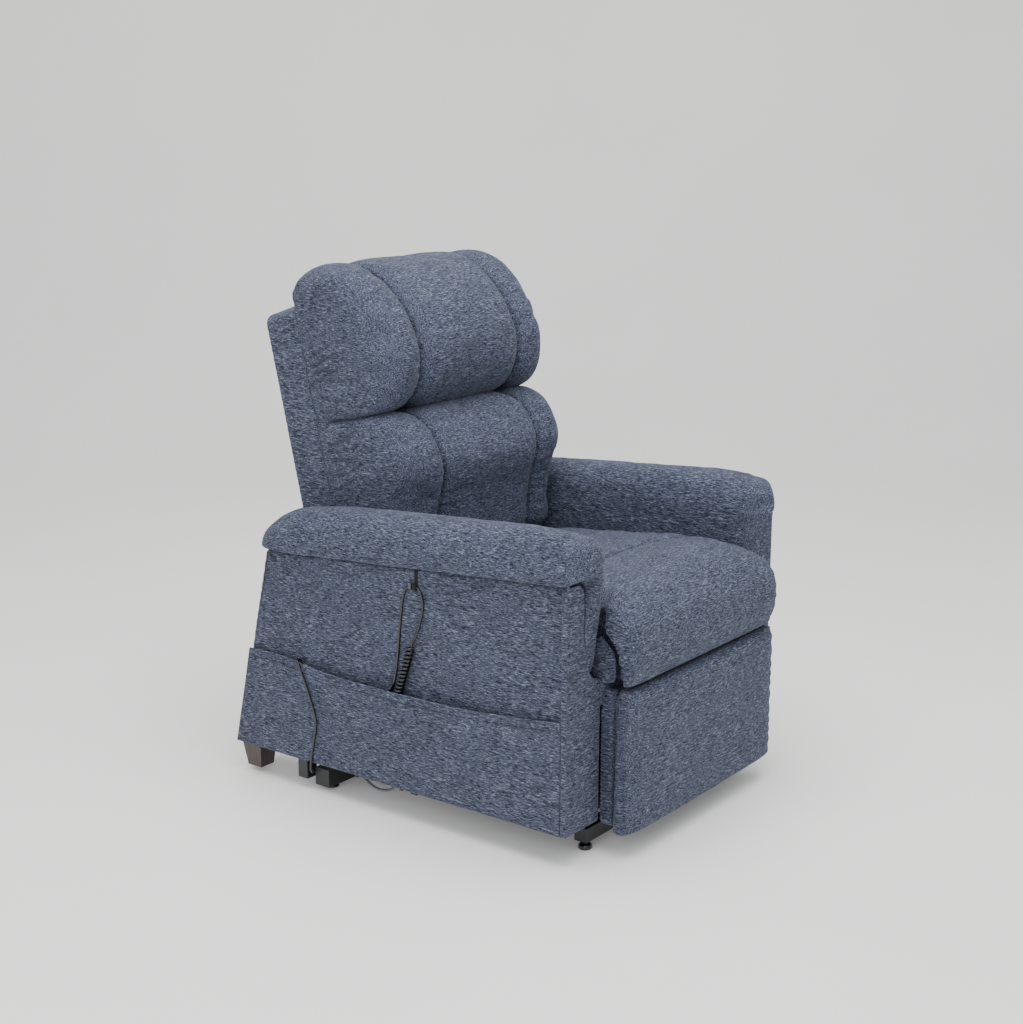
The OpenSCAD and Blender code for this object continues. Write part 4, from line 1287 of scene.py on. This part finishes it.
@dataclass
class Back:
    """The reclining back: outer shell, its lining, head pillow and lumbar pillow."""

    frame: BackFrame

    def build(self) -> None:
        """Makes the back's cloth pieces."""
        self._shell()
        self._lining()
        head = [(95, 187), (150, 177), (235, 176), (292, 187), (330, 222), (350, 275), (351, 318), (333, 385),
                (287, 456), (228, 499), (160, 510), (108, 495), (92, 440), (92, 320)]
        folds = ((331, 0.35, 3.6), (309, 0.15, 5.4), (286, 0.0, 6.0), (266, -0.15, 4.6), (356, 0.5, 3.0),
                 (226, -0.3, 3.4))
        Pillow("head_cushion", "head_pillow", head, lap_from=120, meets=-1, creases=folds).build(self.frame)
        lumbar = [(95, -146), (170, -164), (236, -162), (278, -140), (296, -85), (318, -30), (342, 15),
                  (352, 50), (346, 98), (324, 142), (283, 169), (225, 177), (140, 177), (92, 172), (92, 20)]
        folds = ((132, 0.1, 4.6), (113, -0.1, 4.0), (90, -0.25, 3.4), (38, 0.2, 3.0), (-30, 0.3, 3.8),
                 (62, 0.1, 2.4))
        Pillow("lumbar_cushion", "lumbar_pillow", lumbar, lap_from=0, meets=1, creases=folds,
               valley=12.0).build(self.frame)

    def _lining(self) -> None:
        """Makes the thin lining that closes the shell behind the pillows."""
        outline = [(-258, -233), (258, -233), (262, -223), (262, 396), (254, 404), (-254, 404), (-262, 396),
                   (-262, -223)]
        piece = self._slab("back_lining", outline, 86.0, 89.0)
        upholster(piece, "back", padded=None)

    def _shell(self) -> None:
        """Makes the padded outer back with its two wings and its top."""
        half, depth, wall = 273.0, 92.0, 13.0
        crown = [(half, 390), (half, 418), (half - 12, 430), (150, 448), (0, 456), (-150, 448),
                 (-half + 12, 430), (-half, 418), (-half, 390)]
        body = [(-half, -235), (half, -235)] + crown
        inner = [(-half + wall, -300), (half - wall, -300), (half - wall, 417), (-half + wall, 417)]
        shell = self._slab("outer_back_cover", body, 0.0, depth)
        combine(shell, self._slab("cut", inner, 12.0, depth + 30), "DIFFERENCE")
        soften(shell, 4.0, 8)
        co = vertex_array(shell)
        _, n, _ = self.frame.from_part(co)
        emboss(shell, ripple(co, 190, 6.0) * 1.6 * fade(6 - n, 6))
        upholster(shell, "back", "back_shell")
        seam = [(x, -0.2, 408 + 34 * math.cos(x / half * 1.45)) for x in np.linspace(-250, 250, 60)]
        stitch("outer_back_stitching", self.frame.to_chair(np.array(seam)), "back")

    def _slab(self, name: str, outline: Any, low: float, high: float) -> Object:
        """Makes a slab of the back.

        Args:
            name: the piece's name.
            outline: points (x, s) of its outline.
            low: its rear face's n.
            high: its front face's n.

        Returns:
            The new object.
        """
        flat = np.asarray(outline, float)
        faces = (self.frame.to_chair(np.insert(flat, 1, n, axis=1)) for n in (low, high))
        return solid_between(name, *faces)


# ------------------------------------------------------------------------------ seat
@dataclass
class Seat:
    """The seat cushion: a crowned top rolled over its nose, with a curved cross seam."""

    half: float = 272.0
    crown: float = 536.0
    nose: float = -90.0
    low: float = 364.3  # where it rests on the wooden frame
    under: float = 358.0  # its underside ahead of the frame
    ears: float = 14.0  # how much wider the nose is than the part between the arms, each side
    recess: float = 26.0
    cross_seam: Seam = Seam(8.0, 4.6, 1.2, 21.0)

    def seam_y(self, x: Any) -> Any:
        """Where the cross seam lies at x."""
        return 168.0 - 40.0 * (np.abs(x) / 264.0) ** 3

    def nose_rear(self, z: Any) -> Any:
        """How far back the side of the wide nose reaches at height z."""
        return np.interp(z, [367, 400, 429, 450, 462, 480, 500, 515], [-48, -45, -41, -30, -16, -9, -6, 8])

    def section(self, u: float) -> Array:
        """Shapes the closed profile at one station.

        Args:
            u: the station, as a share of the half width.

        Returns:
            Rows (x, y, z).
        """
        c, low, nose = self.crown, self.low, self.nose
        middle = np.array([(nose + 22, 359), (nose + 7, 385), (nose, c - 103), (nose + 8, c - 62),
                           (nose / 2, c - 23), (20, c - 4), (90, c), (150, c - 2), (215, c - 12),
                           (300, c - 20), (420, c - 30), (490, c - 42), (508, c - 74), (504, low + 12),
                           (480, low), (200, low), (-2, low), (-20, self.under)], float)
        side = middle.copy()
        side[:, 0] = np.where(middle[:, 0] < 0, middle[:, 0] * 0.85, middle[:, 0] - 6 * (middle[:, 0] > 450))
        side[:, 1] = np.where(middle[:, 1] > 428, 428 + (middle[:, 1] - 428) * 0.88, middle[:, 1])
        soft, boxed = (max(0.0, 1 - abs(u) ** power) ** 0.5 for power in (5, 14))
        e = np.where(middle[:, :1] < 0, boxed, soft)
        ring = sample(side + (middle - side) * e, spread(middle, 170), 0, True)
        ring[:, 1] = np.maximum(ring[:, 1], np.where(ring[:, 0] > -2, low, self.under))
        ears = self.ears * fade(4 - ring[:, 0], 16) * fade(self.crown - 2 - ring[:, 1], 40)
        return np.stack([u * (self.half + ears * abs(u) ** 6), ring[:, 0], ring[:, 1]], axis=1)

    def _recess(self, piece: Object) -> None:
        """Draws the sides in behind the nose, where the cushion passes the arms' fronts.

        Args:
            piece: the cushion.
        """
        co = vertex_array(piece)
        x, y, z = chair_mm(co)
        behind = fade(y - self.nose_rear(z) + 3, 6) * fade(28 - y, 12)
        excess = np.clip(np.abs(x) - (self.half - self.recess), 0, None) * behind * fade(508 - z, 20)
        co[:, 0] -= np.sign(x) * excess / MM
        move_vertices(piece, co)

    def held(self, points: Array) -> Array:
        """Tells where the cushion rests on the frame or is sewn.

        Args:
            points: positions in metres, one per row.

        Returns:
            1 there, falling off to 0 beside it.
        """
        x, y, z = chair_mm(points)
        seam = np.exp(-((y - self.seam_y(x)) / 8) ** 2) * (z > 480)
        return np.maximum(seam, fade(self.low + 26 - z, 14))

    def _seam_line(self) -> Array:
        """Runs the cross seam over the cushion's top.

        Returns:
            Its points, in chair millimetres.
        """
        line = []
        for x in np.linspace(-self.half + 4, self.half - 4, 160):
            ring = self.section(x / self.half)
            ring = ring[np.argsort(ring[:, 1])]
            top = ring[ring[:, 2] > 450][20:80]
            line.append((x, self.seam_y(x), np.interp(self.seam_y(x), top[:, 1], top[:, 2])))
        return np.array(line)

    def build(self) -> None:
        """Makes the seat cushion and the cloth pieces round it."""
        across = 0.5 * np.sin(np.linspace(-1, 1, 111) * math.pi / 2) + 0.5 * np.linspace(-1, 1, 111)
        piece = loft("seat_cover", np.array([self.section(u) for u in across]), dome=0.0)
        inflate(piece, voxel=7.0, cap=8.0, held=self.held, seed=2.6)
        refine(piece)
        self._recess(piece)
        sew(piece, place(self._seam_line()), self.cross_seam)
        self._wrinkle(piece)
        upholster(piece, "chair", "seat_cushion", padded=0.8)
        self._rail_cover()
        self._gussets()

    def _wrinkle(self, piece: Object) -> None:
        """Gathers the nose's corners and makes the rest softly uneven.

        Args:
            piece: the cushion.
        """
        co = vertex_array(piece)
        x, y, z = chair_mm(co)
        foot = self.low + 1.7
        corner = fade(np.abs(x) - 205, 50) * (fade(10 - y, 50) * fade(z - foot, 14))
        dent = 0.8 * corner * np.sin((z + 0.5 * y) / 4.6 + 1.3 * np.sin(z / 17))
        dent += (ripple(co, 110, 1.4) * 2.2 + ripple(co, 36, 9.0) * 0.6) * fade(z - foot, 20)
        dent -= 2.4 * np.exp(-((z - 372) / 6) ** 2) * (y < -4)
        emboss(piece, dent)

    def _rail_cover(self) -> None:
        """Makes the cloth over the seat frame's front rail and over its rear edge."""
        wide, low, high = 285.6, 313, 363.5
        rail = [(-wide, low), (wide, low), (wide, high), (-wide, high)]
        cover = prism("front_rail_cover", rail, -2.4, -0.5, axis=1)
        upholster(cover, "chair", padded=None)
        drape = [(474, 364.6), (569.8, 364.6), (569.8, 326), (571.8, 326), (571.8, 367), (474, 367)]
        apron = prism("seat_rear_apron", drape, -228, 228, axis=0)
        upholster(apron, "chair", padded=None)

    def _gussets(self) -> None:
        """Makes the gusset that closes the corner between the nose and each arm."""
        outline = [(-10, 358), (-28, 364), (-32, 372), (-32, 410), (-27, 425), (-12, 440), (2, 453),
                   (10, 448), (26, 440), (26, 372), (13, 360)]
        for side in Side:
            low, high = sorted((side.value * 274.6, side.value * 279.2))
            gusset = prism(f"seat_gusset_{side.name.lower()}", outline, low, high, axis=0)
            soften(gusset, 1.5, 2)
            upholster(gusset, "chair", weft=Weft.ALONG, padded=None)


# ------------------------------------------------------------------------------ arms
def make_welt(name: str, edge: Array, radius: float = 1.9) -> Object:
    """Makes a welt: a thin cloth-covered cord along a line.

    Args:
        name: the piece's name.
        edge: points of the line, in chair millimetres.
        radius: the welt's radius in mm.

    Returns:
        The welt's mesh.
    """
    line = spline(edge, 220, closed=False)
    way = np.gradient(line, axis=0)
    way /= np.linalg.norm(way, axis=1)[:, None]
    u = np.cross(way, [0.05, 1.0, 0.03])
    u /= np.linalg.norm(u, axis=1)[:, None]
    v = np.cross(way, u)
    turn = (np.arange(10) * math.pi / 5)[None, :, None]
    rings = line[:, None] + radius * (u[:, None] * np.cos(turn) + v[:, None] * np.sin(turn))
    return loft(name, rings, ends=(0.6,), dome=0.8)


@dataclass
class Arm:
    """One arm: padded body, front facing and the pad rolled over its top and inner side."""

    side: Side
    outer: float = 400.0
    inner: float = 281.0
    bottom: float = 69.0
    step: float = 356.0  # height where the arm narrows beside the seat
    length: float = 904.0
    seam_length: float = 800.0
    facing: float = 12.0
    narrow: float = 59.0  # width of the facing above the step
    crown: float = 104.0
    pocket: float = 12.0  # how much thinner the arm is under its pocket
    gather: Seam = Seam(2.2, 3.0, 0.8, 9.0)
    fold: Seam = Seam(2.0, 3.0)

    @property
    def face(self) -> float:
        """Distance of the arm's outer cloth from the chair's middle plane."""
        return self.outer - (self.pocket if self.side is Side.RIGHT else 0.0)

    def seam(self, y: Any) -> Any:
        """Height of the seam under the pad at y."""
        return 576.0 - 51.0 * y / self.seam_length

    def rear(self, z: float) -> float:
        """Where the slanting rear edge lies at height z."""
        return self.length + 2.0 - 100.0 * (z - self.bottom) / (525.0 - self.bottom)

    def facing_edge(self, z: Any) -> Any:
        """The facing's inner edge at height z."""
        return np.interp(z, [344, 356, 374, 390, 470, 554, 572], [283, 289, 313, 323, 343, 341, 352])

    def build(self) -> None:
        """Makes the arm's pieces."""
        tag = self.side.name.lower()
        self._body(tag)
        self._facing(tag)
        self._corner(tag)
        self._pad(tag)

    def _mirror(self, points: Any) -> Array:
        """Sets points of the sitter's left arm on this arm's side.

        Args:
            points: array (..., 3) in chair millimetres.

        Returns:
            The points, with x turned over for the right arm.
        """
        out = np.array(points, float)
        out[..., 0] *= self.side.value
        return out

    def _body(self, tag: str) -> None:
        """Makes the upholstered box of the arm.

        Args:
            tag: the side's name.
        """
        y0, sgn = self.facing, self.side.value
        low = [(y0, self.bottom), (self.length, self.bottom), (self.rear(self.step), self.step),
               (y0, self.step)]
        up = [(y0, self.step - 20), (self.rear(self.step - 20), self.step - 20), (self.rear(525.0), 525.0),
              (y0, self.seam(y0))]
        lower = prism("arm_lower", low, *sorted((sgn * self.inner, sgn * self.face)), axis=0)
        upper = prism("arm_upper", up, *sorted((sgn * (self.inner + 32), sgn * self.face)), axis=0)
        combine(lower, upper, "UNION")
        lower.name = f"arm_cover_{tag}"
        soften(lower, 5.0, 5)
        co = vertex_array(lower)
        bow = ripple(co, 210, 3.0 * sgn) * 0.0021 + ripple(co, 70, 7.0) * 0.0006
        co[:, 0] += bow * sgn * (np.abs(co[:, 0]) > (self.face - 4) / MM)
        move_vertices(lower, co)
        upholster(lower, "chair", f"arm_{tag}", weft=Weft.ALONG)
        rear = [(self.face + 0.2, self.rear(z) - 9, z) for z in np.linspace(84, 512, 60)]
        stitch(f"arm_rear_stitching_{tag}", self._mirror(rear), "chair")

    def _corner(self, tag: str) -> None:
        """Makes the stuffed inner corner between the facing's step and the pad's flap.

        Args:
            tag: the side's name.
        """
        a, b, low = self.inner + 0.4, self.inner + 34, self.step - 10
        outline = [(a, low), (b, low), (b, low + 26), (a + 12, low + 24), (a, low + 18)]
        piece = prism(f"arm_corner_{tag}", [(self.side.value * x, z) for x, z in outline], -1.2, 44.0, axis=1)
        soften(piece, 2.0, 2)
        upholster(piece, "chair", weft=Weft.ALONG, padded=None)

    def _facing(self, tag: str) -> None:
        """Makes the padded front facing and the welt round it.

        Args:
            tag: the side's name.
        """
        sgn, waist = self.side.value, self.outer - self.narrow
        top = self.seam(self.facing) - 0.2
        outline = [(self.inner + 4, self.bottom), (self.outer, self.bottom), (self.outer, top - 10),
                   (self.outer - 10, top), (waist + 14, top), (waist, 554), (waist + 2, 470),
                   (waist - 18, 390), (waist - 28, 374), (self.inner + 8, self.step),
                   (self.inner + 2, self.step - 12)]
        rows = [(sgn * x, z) for x, z in outline]
        piece = prism(f"arm_facing_cover_{tag}", rows, -0.5, self.facing + 2, axis=1)
        soften(piece, 3.0, 7)
        co = vertex_array(piece)
        co[:, 1] -= 0.0012 * (1 + ripple(co, 80, 2.0)) * (co[:, 1] < place([0, 5, 0])[1])
        move_vertices(piece, co)
        upholster(piece, "chair", f"arm_facing_{tag}")
        edge = [(self.outer - 2.2, self.bottom + 5), (self.outer - 2.2, 300), (self.outer - 2.2, top - 18),
                (self.outer - 8, top - 4), (self.outer - 22, top - 2), (self.outer - 40, top - 3),
                (self.outer - 52, top - 14), (waist + 3.5, 530), (waist + 4.5, 470), (waist - 6, 420),
                (waist - 15, 392), (waist - 26, 378), (self.inner + 11, self.step + 1),
                (self.inner + 5.5, self.step - 14), (self.inner + 6, 200), (self.inner + 6, self.bottom + 5)]
        ahead = [0.6] + [0.4] * (len(edge) - 4) + [0.6, 0.6, 0.8]
        line = [(x, y, z) for (x, z), y in zip(edge, ahead)]
        upholster(make_welt(f"arm_welt_{tag}", self._mirror(line)), "chair", padded=None)

    def _stations(self) -> Array:
        """Sets the pad's stations, close together at its rounded ends.

        Returns:
            Rows (y, height of the crown, spread of the section), the last two as shares of the full ones.
        """
        rear = self.seam_length
        table = [(-35, 0.12, 0.10), (-31, 0.32, 0.24), (-27, 0.52, 0.36), (-20, 0.66, 0.52), (-12, 0.73, 0.7),
                 (-6, 0.78, 0.82), (0, 0.82, 0.93), (6, 0.84, 0.99), (16, 0.86, 1), (52, 0.93, 1),
                 (110, 0.99, 1), (180, 1, 1), (420, 1.01, 1), (560, 1, 1), (640, 0.97, 1),
                 (rear - 72, 0.88, 1), (rear - 34, 0.76, 0.98), (rear - 4, 0.58, 0.92),
                 (rear + 14, 0.42, 0.8), (rear + 23, 0.26, 0.56)]
        dense = sample(np.array(table, float), np.linspace(0, 1, 400), 0, False)
        picks = np.concatenate([np.linspace(-35, 11.6, 30), [12.4], np.linspace(17, 130, 22),
                                np.linspace(138, 640, 70), np.linspace(648, rear + 23, 30)])
        order = np.argsort(dense[:, 0])
        shares = [np.interp(picks, dense[order, 0], dense[order, k]) for k in (1, 2)]
        return np.stack([picks] + shares, axis=1)

    def _flap_tip(self, y: float) -> float:
        """Finds the lower edge of the pad's inner flap, which rises as it rounds the arm's front.

        Args:
            y: the station.

        Returns:
            The edge's height.
        """
        if y >= self.facing:
            return 396.0
        places, heights = [-35, -31, -21, -13, -9, -5, 1, 11.9], [574, 562, 529, 508, 490, 446, 404, 376]
        return float(np.interp(y, places, heights))

    def _pad_ring(self, y: float, h: float, k: float) -> Array:
        """Shapes the pad's closed section at one station.

        Args:
            y: the station.
            h: the crown's height as a share of the full one.
            k: the section's spread as a share of the full one.

        Returns:
            Rows (x, y, z).
        """
        z, tip, ahead = self.seam(max(y, 0)), self._flap_tip(y), y < self.facing
        upper = 340.4 if ahead else self.inner + 32
        c = np.array([self.inner + 52, z + 46 * h])
        rise, half_way = self.crown * h, (z + tip) / 2
        control = np.array([
            (self.outer + 2, z + 1), (self.outer + 6, z + 16 * h), (self.outer + 5, z + 40 * h),
            (self.outer - 5, z + 0.74 * rise), (self.outer - 30, z + 0.955 * rise),
            (self.outer - 60, z + rise), (self.inner + 30, z + 0.95 * rise),
            (self.inner + 9, z + 0.74 * rise), (self.inner + 1, z + 34 * h),
            (self.inner + 0.5, z - 30), (self.inner + 5, half_way), (self.inner + 14, half_way - 30),
            (self.inner + 22, tip), (upper - 1, tip + 3), (upper - 0.5, z - 60), (upper - 0.5, z - 6),
            (upper + 14, z + 1.5), (self.outer - 30, z + 1.5), (self.outer - 10, z + 1)])
        ring = sample(control, spread(control, 130), 0, True)
        x = c[0] + (ring[:, 0] - c[0]) * k
        up = np.maximum(tip, np.where(ring[:, 1] > c[1], ring[:, 1], c[1] + (ring[:, 1] - c[1]) * k))
        if ahead:
            x = np.where(up < z, np.minimum(x, self.facing_edge(up) - 0.6), x)
        else:
            x = np.where(ring[:, 0] <= upper, np.minimum(x, upper - 0.4), x)
        return np.stack([x, np.full(len(x), y), up], axis=1)

    def held(self, points: Array) -> Array:
        """Tells where the pad lies on the arm or its facing, or is sewn.

        Args:
            points: positions in metres, one per row.

        Returns:
            1 there, falling off to 0 beside it.
        """
        x, y, z = chair_mm(points)
        x = np.abs(x)
        seam = fade(self.seam(np.maximum(y, 0)) + 12 - z, 8) * (x > self.inner + 20)
        return np.maximum(seam, fade(x - self.inner - 20, 8) * (z < 560))

    def _pad(self, tag: str) -> None:
        """Makes the pad that rolls over the arm's top, inner side and front.

        Args:
            tag: the side's name.
        """
        rings = self._mirror([self._pad_ring(*row) for row in self._stations()])
        piece = loft(f"arm_pad_cover_{tag}", rings, dome=2.5)
        inflate(piece, voxel=5.5, cap=5.0, held=self.held, seed=4.0 + self.side.value)
        refine(piece)
        gather = [(self.outer + 5 - max(0.0, z - 610) ** 2 / 130, 25.0, z) for z in np.linspace(576, 664, 40)]
        sew(piece, place(self._mirror(gather)), self.gather)
        fold = [(self.facing_edge(z) - 3, -22.0, z) for z in np.linspace(400, 566, 60)]
        sew(piece, place(self._mirror(fold)), self.fold)
        co = vertex_array(piece)
        x, y, z = chair_mm(co)
        x, above = np.abs(x), z - self.seam(np.maximum(y, 0))
        upper = fade(above - 8, 14)
        dent = 2.4 * np.sin((z + 0.35 * y) / 2.7 + 1.4 * np.sin(z / 13))
        dent *= np.exp(-np.clip(y - 26, 0, 400) / 26)
        dent *= fade(y - 24, 5) * fade(x - 350, 30) * upper
        dent += ripple(co, 130, 3.0 + self.side.value) * 1.8 * upper + ripple(co, 40, 6.0) * 0.5
        free = np.clip(fade(above - 3, 10) + (x < self.inner + 16), 0, 1)
        emboss(piece, dent * free)
        upholster(piece, "chair", f"arm_pad_{tag}", weft=Weft.ALONG, padded=0.8)


@dataclass
class SidePocket:
    """The pocket on the sitter's right: hemmed cloth, sewn all round but for its slack mouth."""

    outer: float = 400.0
    low: float = 69.6
    mouth: tuple[float, float] = (148.0, 850.0)
    gape: float = 11.0
    cloth: float = 3.2
    hem_depth: float = 17.0

    def top(self, y: Any) -> Any:
        """Height of the pocket's upper edge at y."""
        return np.interp(y, [12, 60, 120, 200, 300, 440, 560, 640, 700, 740, 800, 860],
                         [305, 298, 292, 286, 283, 282, 283, 286, 293, 297, 298, 296])

    def slack(self, y: Array) -> Array:
        """How far the mouth hangs open at y, from 0 to 1."""
        t = fade(y - self.mouth[0], self.mouth[1] - self.mouth[0])
        return np.sin(math.pi * t ** 0.75)

    def _face(self) -> Array:
        """Shapes the pocket's outer face: flat at its sewn edges, bulging a little, slack at its mouth.

        Returns:
            Array (rows upward, points backward, 3) in chair millimetres.
        """
        rear, bulge = Arm(Side.RIGHT).rear, 3.0
        rows = []
        for v in np.concatenate([np.linspace(0, 0.93, 40), [0.955, 0.975, 0.99, 1.0]]):
            ys = np.linspace(14.0, rear(self.low + 225 * v) - 3.0, 170)
            x = -self.outer + 0.6 - self.gape * self.slack(ys) * v ** 1.6
            x -= bulge * np.sin(math.pi * fade(ys - 14, 840)) * math.sin(math.pi * v ** 0.8)
            rows.append(np.stack([x, ys, self.low + (self.top(ys) - self.low) * v], axis=1))
        return np.array(rows)

    def build(self) -> None:
        """Makes the pocket's panel, its rolled hem and its stitching."""
        face = self._face()
        inner = face + [self.cloth, 0, 0]
        m, n = face.shape[:2]
        faces = []
        for i in range(m - 1):
            for j in range(n - 1):
                a, b = i * n + j, (m + i) * n + j
                faces += [(a, a + n, a + n + 1, a + 1), (b, b + 1, b + n + 1, b + n)]
        edge = list(range(n)) + [i * n + n - 1 for i in range(1, m)]
        edge += [(m - 1) * n + j for j in range(n - 2, -1, -1)] + [i * n for i in range(m - 2, 0, -1)]
        faces += [(a, b, b + m * n, a + m * n) for a, b in zip(edge, edge[1:] + edge[:1])]
        points = np.concatenate([face.reshape(-1, 3), inner.reshape(-1, 3)])
        piece = new_object("pocket_panel", place(points), faces)
        face_outward(piece)
        co = vertex_array(piece)
        co[:, 0] += ripple(co, 150, 4.0) * 0.0018
        move_vertices(piece, co)
        upholster(piece, "chair", "side_pocket", weft=Weft.ALONG, padded=None)
        lip = face[-1][2:-2]
        hem = make_welt("pocket_hem", lip[::6] + [0.9, 0, -0.8], radius=2.3)
        upholster(hem, "chair", weft=Weft.ALONG, padded=None)
        row = face[-7][3:-3] - [0.5, 0, 0]
        row[:, 2] = lip[1:-1, 2] - self.hem_depth
        stitch("pocket_stitching", row, "chair")


# ------------------------------------------------------------------------------ footrest
@dataclass
class Footrest:
    """The footrest: front panel, board and rear pad."""

    half: float = 288.0
    low: float = 50.0
    high: float = 350.0
    thick: float = 46.0
    board_y: float = -38.0

    def section(self, u: float) -> Array:
        """Shapes the panel's closed profile at one station: full in the middle, thinner at its sides.

        Args:
            u: the station, as a share of the half width.

        Returns:
            Rows (x, y, z).
        """
        y0, front = self.board_y, self.board_y - self.thick
        low, high = self.low, self.high
        core, half_way = y0 - self.thick / 2, (low + high) / 2
        middle = np.array([(y0, low + 14), (y0 - 6, low + 3), (core, low), (front + 4, low + 7),
                           (front, low + 30), (front + 0.5, half_way), (front, high - 34),
                           (front + 4, high - 9), (core, high), (y0 - 6, high - 3), (y0, high - 14),
                           (y0, half_way)], float)
        side = middle.copy()
        side[:, 0] = y0 + (middle[:, 0] - y0) * 0.62
        side[:, 0] -= 11 * fade(middle[:, 1] - 110, 220) * (middle[:, 0] > front + 10)
        side[:, 1] = 200 + (middle[:, 1] - 200) * 0.985
        e = max(0.0, 1 - abs(u) ** 8) ** 0.5
        ring = sample(side + (middle - side) * e, spread(middle, 130), 0, True)
        ring[:, 0] = np.minimum(ring[:, 0], y0)
        return np.stack([np.full(len(ring), u * self.half), ring[:, 0], ring[:, 1]], axis=1)

    def build(self) -> None:
        """Makes the footrest's cloth pieces."""
        across = np.sin(np.linspace(-1, 1, 121) * math.pi / 2)
        piece = loft("footrest_panel", np.array([self.section(u) for u in across]), dome=1.0)
        co = vertex_array(piece)
        x, y, z = chair_mm(co)
        dent = ripple(co, 140, 8.0) * 1.6 + ripple(co, 45, 3.0) * 0.5
        dent += np.sin(z / 4.2 + 1.5 * np.sin(z / 19)) * fade(np.abs(x) - 262, 20)
        emboss(piece, dent * fade(self.board_y - y - 1, 4))
        upholster(piece, "footrest", "footrest_pad", padded=0.7)
        outline = [(-268, 74), (-258, 66), (258, 66), (268, 74), (272, 84), (272, 330), (264, 338),
                   (-264, 338), (-272, 330), (-272, 84)]
        pad = prism("footrest_rear_pad", outline, -37.5, -8.0, axis=1)
        soften(pad, 4.0, 5)
        upholster(pad, "footrest", "footrest_board")
        for side in Side:
            self._bolster(side)

    def _bolster(self, side: Side) -> None:
        """Makes the pleated cloth edge that closes the footrest's side.

        Args:
            side: which side.
        """
        low, high, pitch, depth = 62, 344, 8.0, 1.9
        rings = []
        for z in np.linspace(low, high, 320):
            end = min(1.0, (z - low + 4) / 12, (high + 4 - z) / 12)
            pleat = depth * math.sin(z * 2 * math.pi / pitch + 1.2 * math.sin(z / 27)) * end
            outer = 275 + (8.0 + pleat * 0.8) * end
            rear = -1.4 if z < 308 else -3.4
            shape = [(262, -29), (267, -31), (outer - 6, -29), (outer - 1, -25), (outer + 0.4 * pleat, -16),
                     (outer, -7), (outer - 1.5, rear - 1.3), (outer - 5, rear), (262, rear), (262, -18)]
            ring = spline(shape, 40)
            rings.append(np.stack([ring[:, 0] * side.value, ring[:, 1], np.full(len(ring), z)], axis=1))
        piece = loft(f"footrest_side_edge_{side.name.lower()}", np.array(rings), ends=(0.6,), dome=1.0)
        upholster(piece, "footrest", weft=Weft.ALONG, padded=0.5)


# ------------------------------------------------------------------------------ hard parts
SLOT_FINISH = {
    "upholstery": Finish.CHENILLE, "black_steel": Finish.POWDER_COAT, "zinc_steel": Finish.ZINC,
    "tube_aluminium": Finish.ALUMINIUM, "dark_plastic": Finish.ABS, "gloss_black": Finish.PVC,
    "cable_grey": Finish.GREY_PVC, "clip_grey": Finish.CLIP, "frame_wood": Finish.HARDWOOD,
    "espresso_wood": Finish.ESPRESSO, "strap": Finish.WEBBING, "button_plastic": Finish.BUTTON,
}
# solids that differ from the rest of their slot
NODE_FINISH = {"seat_springs": Finish.SPRING, "levelling_glides": Finish.GLIDE}


@dataclass
class HardParts:
    """The frame's own solids: steel, zinc, plastics and wood keep their shapes and get their finishes."""

    by_slot: dict[str, Finish]
    by_node: dict[str, Finish]

    def build(self) -> None:
        """Dresses every solid."""
        slots = {row["node"]: row["material_slot"] for row in frame["record"]["subparts"]}
        for name, node in frame["nodes"].items():
            WARDROBE.dress(node, self.by_node.get(name, self.by_slot[slots[name]]))
        LOG.info("hard parts: %d solids dressed", len(frame["nodes"]))


def report_size() -> None:
    """Updates the view layer, so that the pieces' places are current."""
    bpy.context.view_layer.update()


def main() -> None:
    """Builds the studio and the chair's sub-assemblies in order."""
    logging.basicConfig(level=logging.INFO, format="%(name)s: %(message)s")
    Studio().build()
    HandCord().build()
    HardParts(SLOT_FINISH, NODE_FINISH).build()
    Back(BackFrame()).build()
    Seat().build()
    for side in Side:
        Arm(side).build()
    SidePocket().build()
    Footrest().build()
    report_size()


if __name__ == "__main__":
    main()
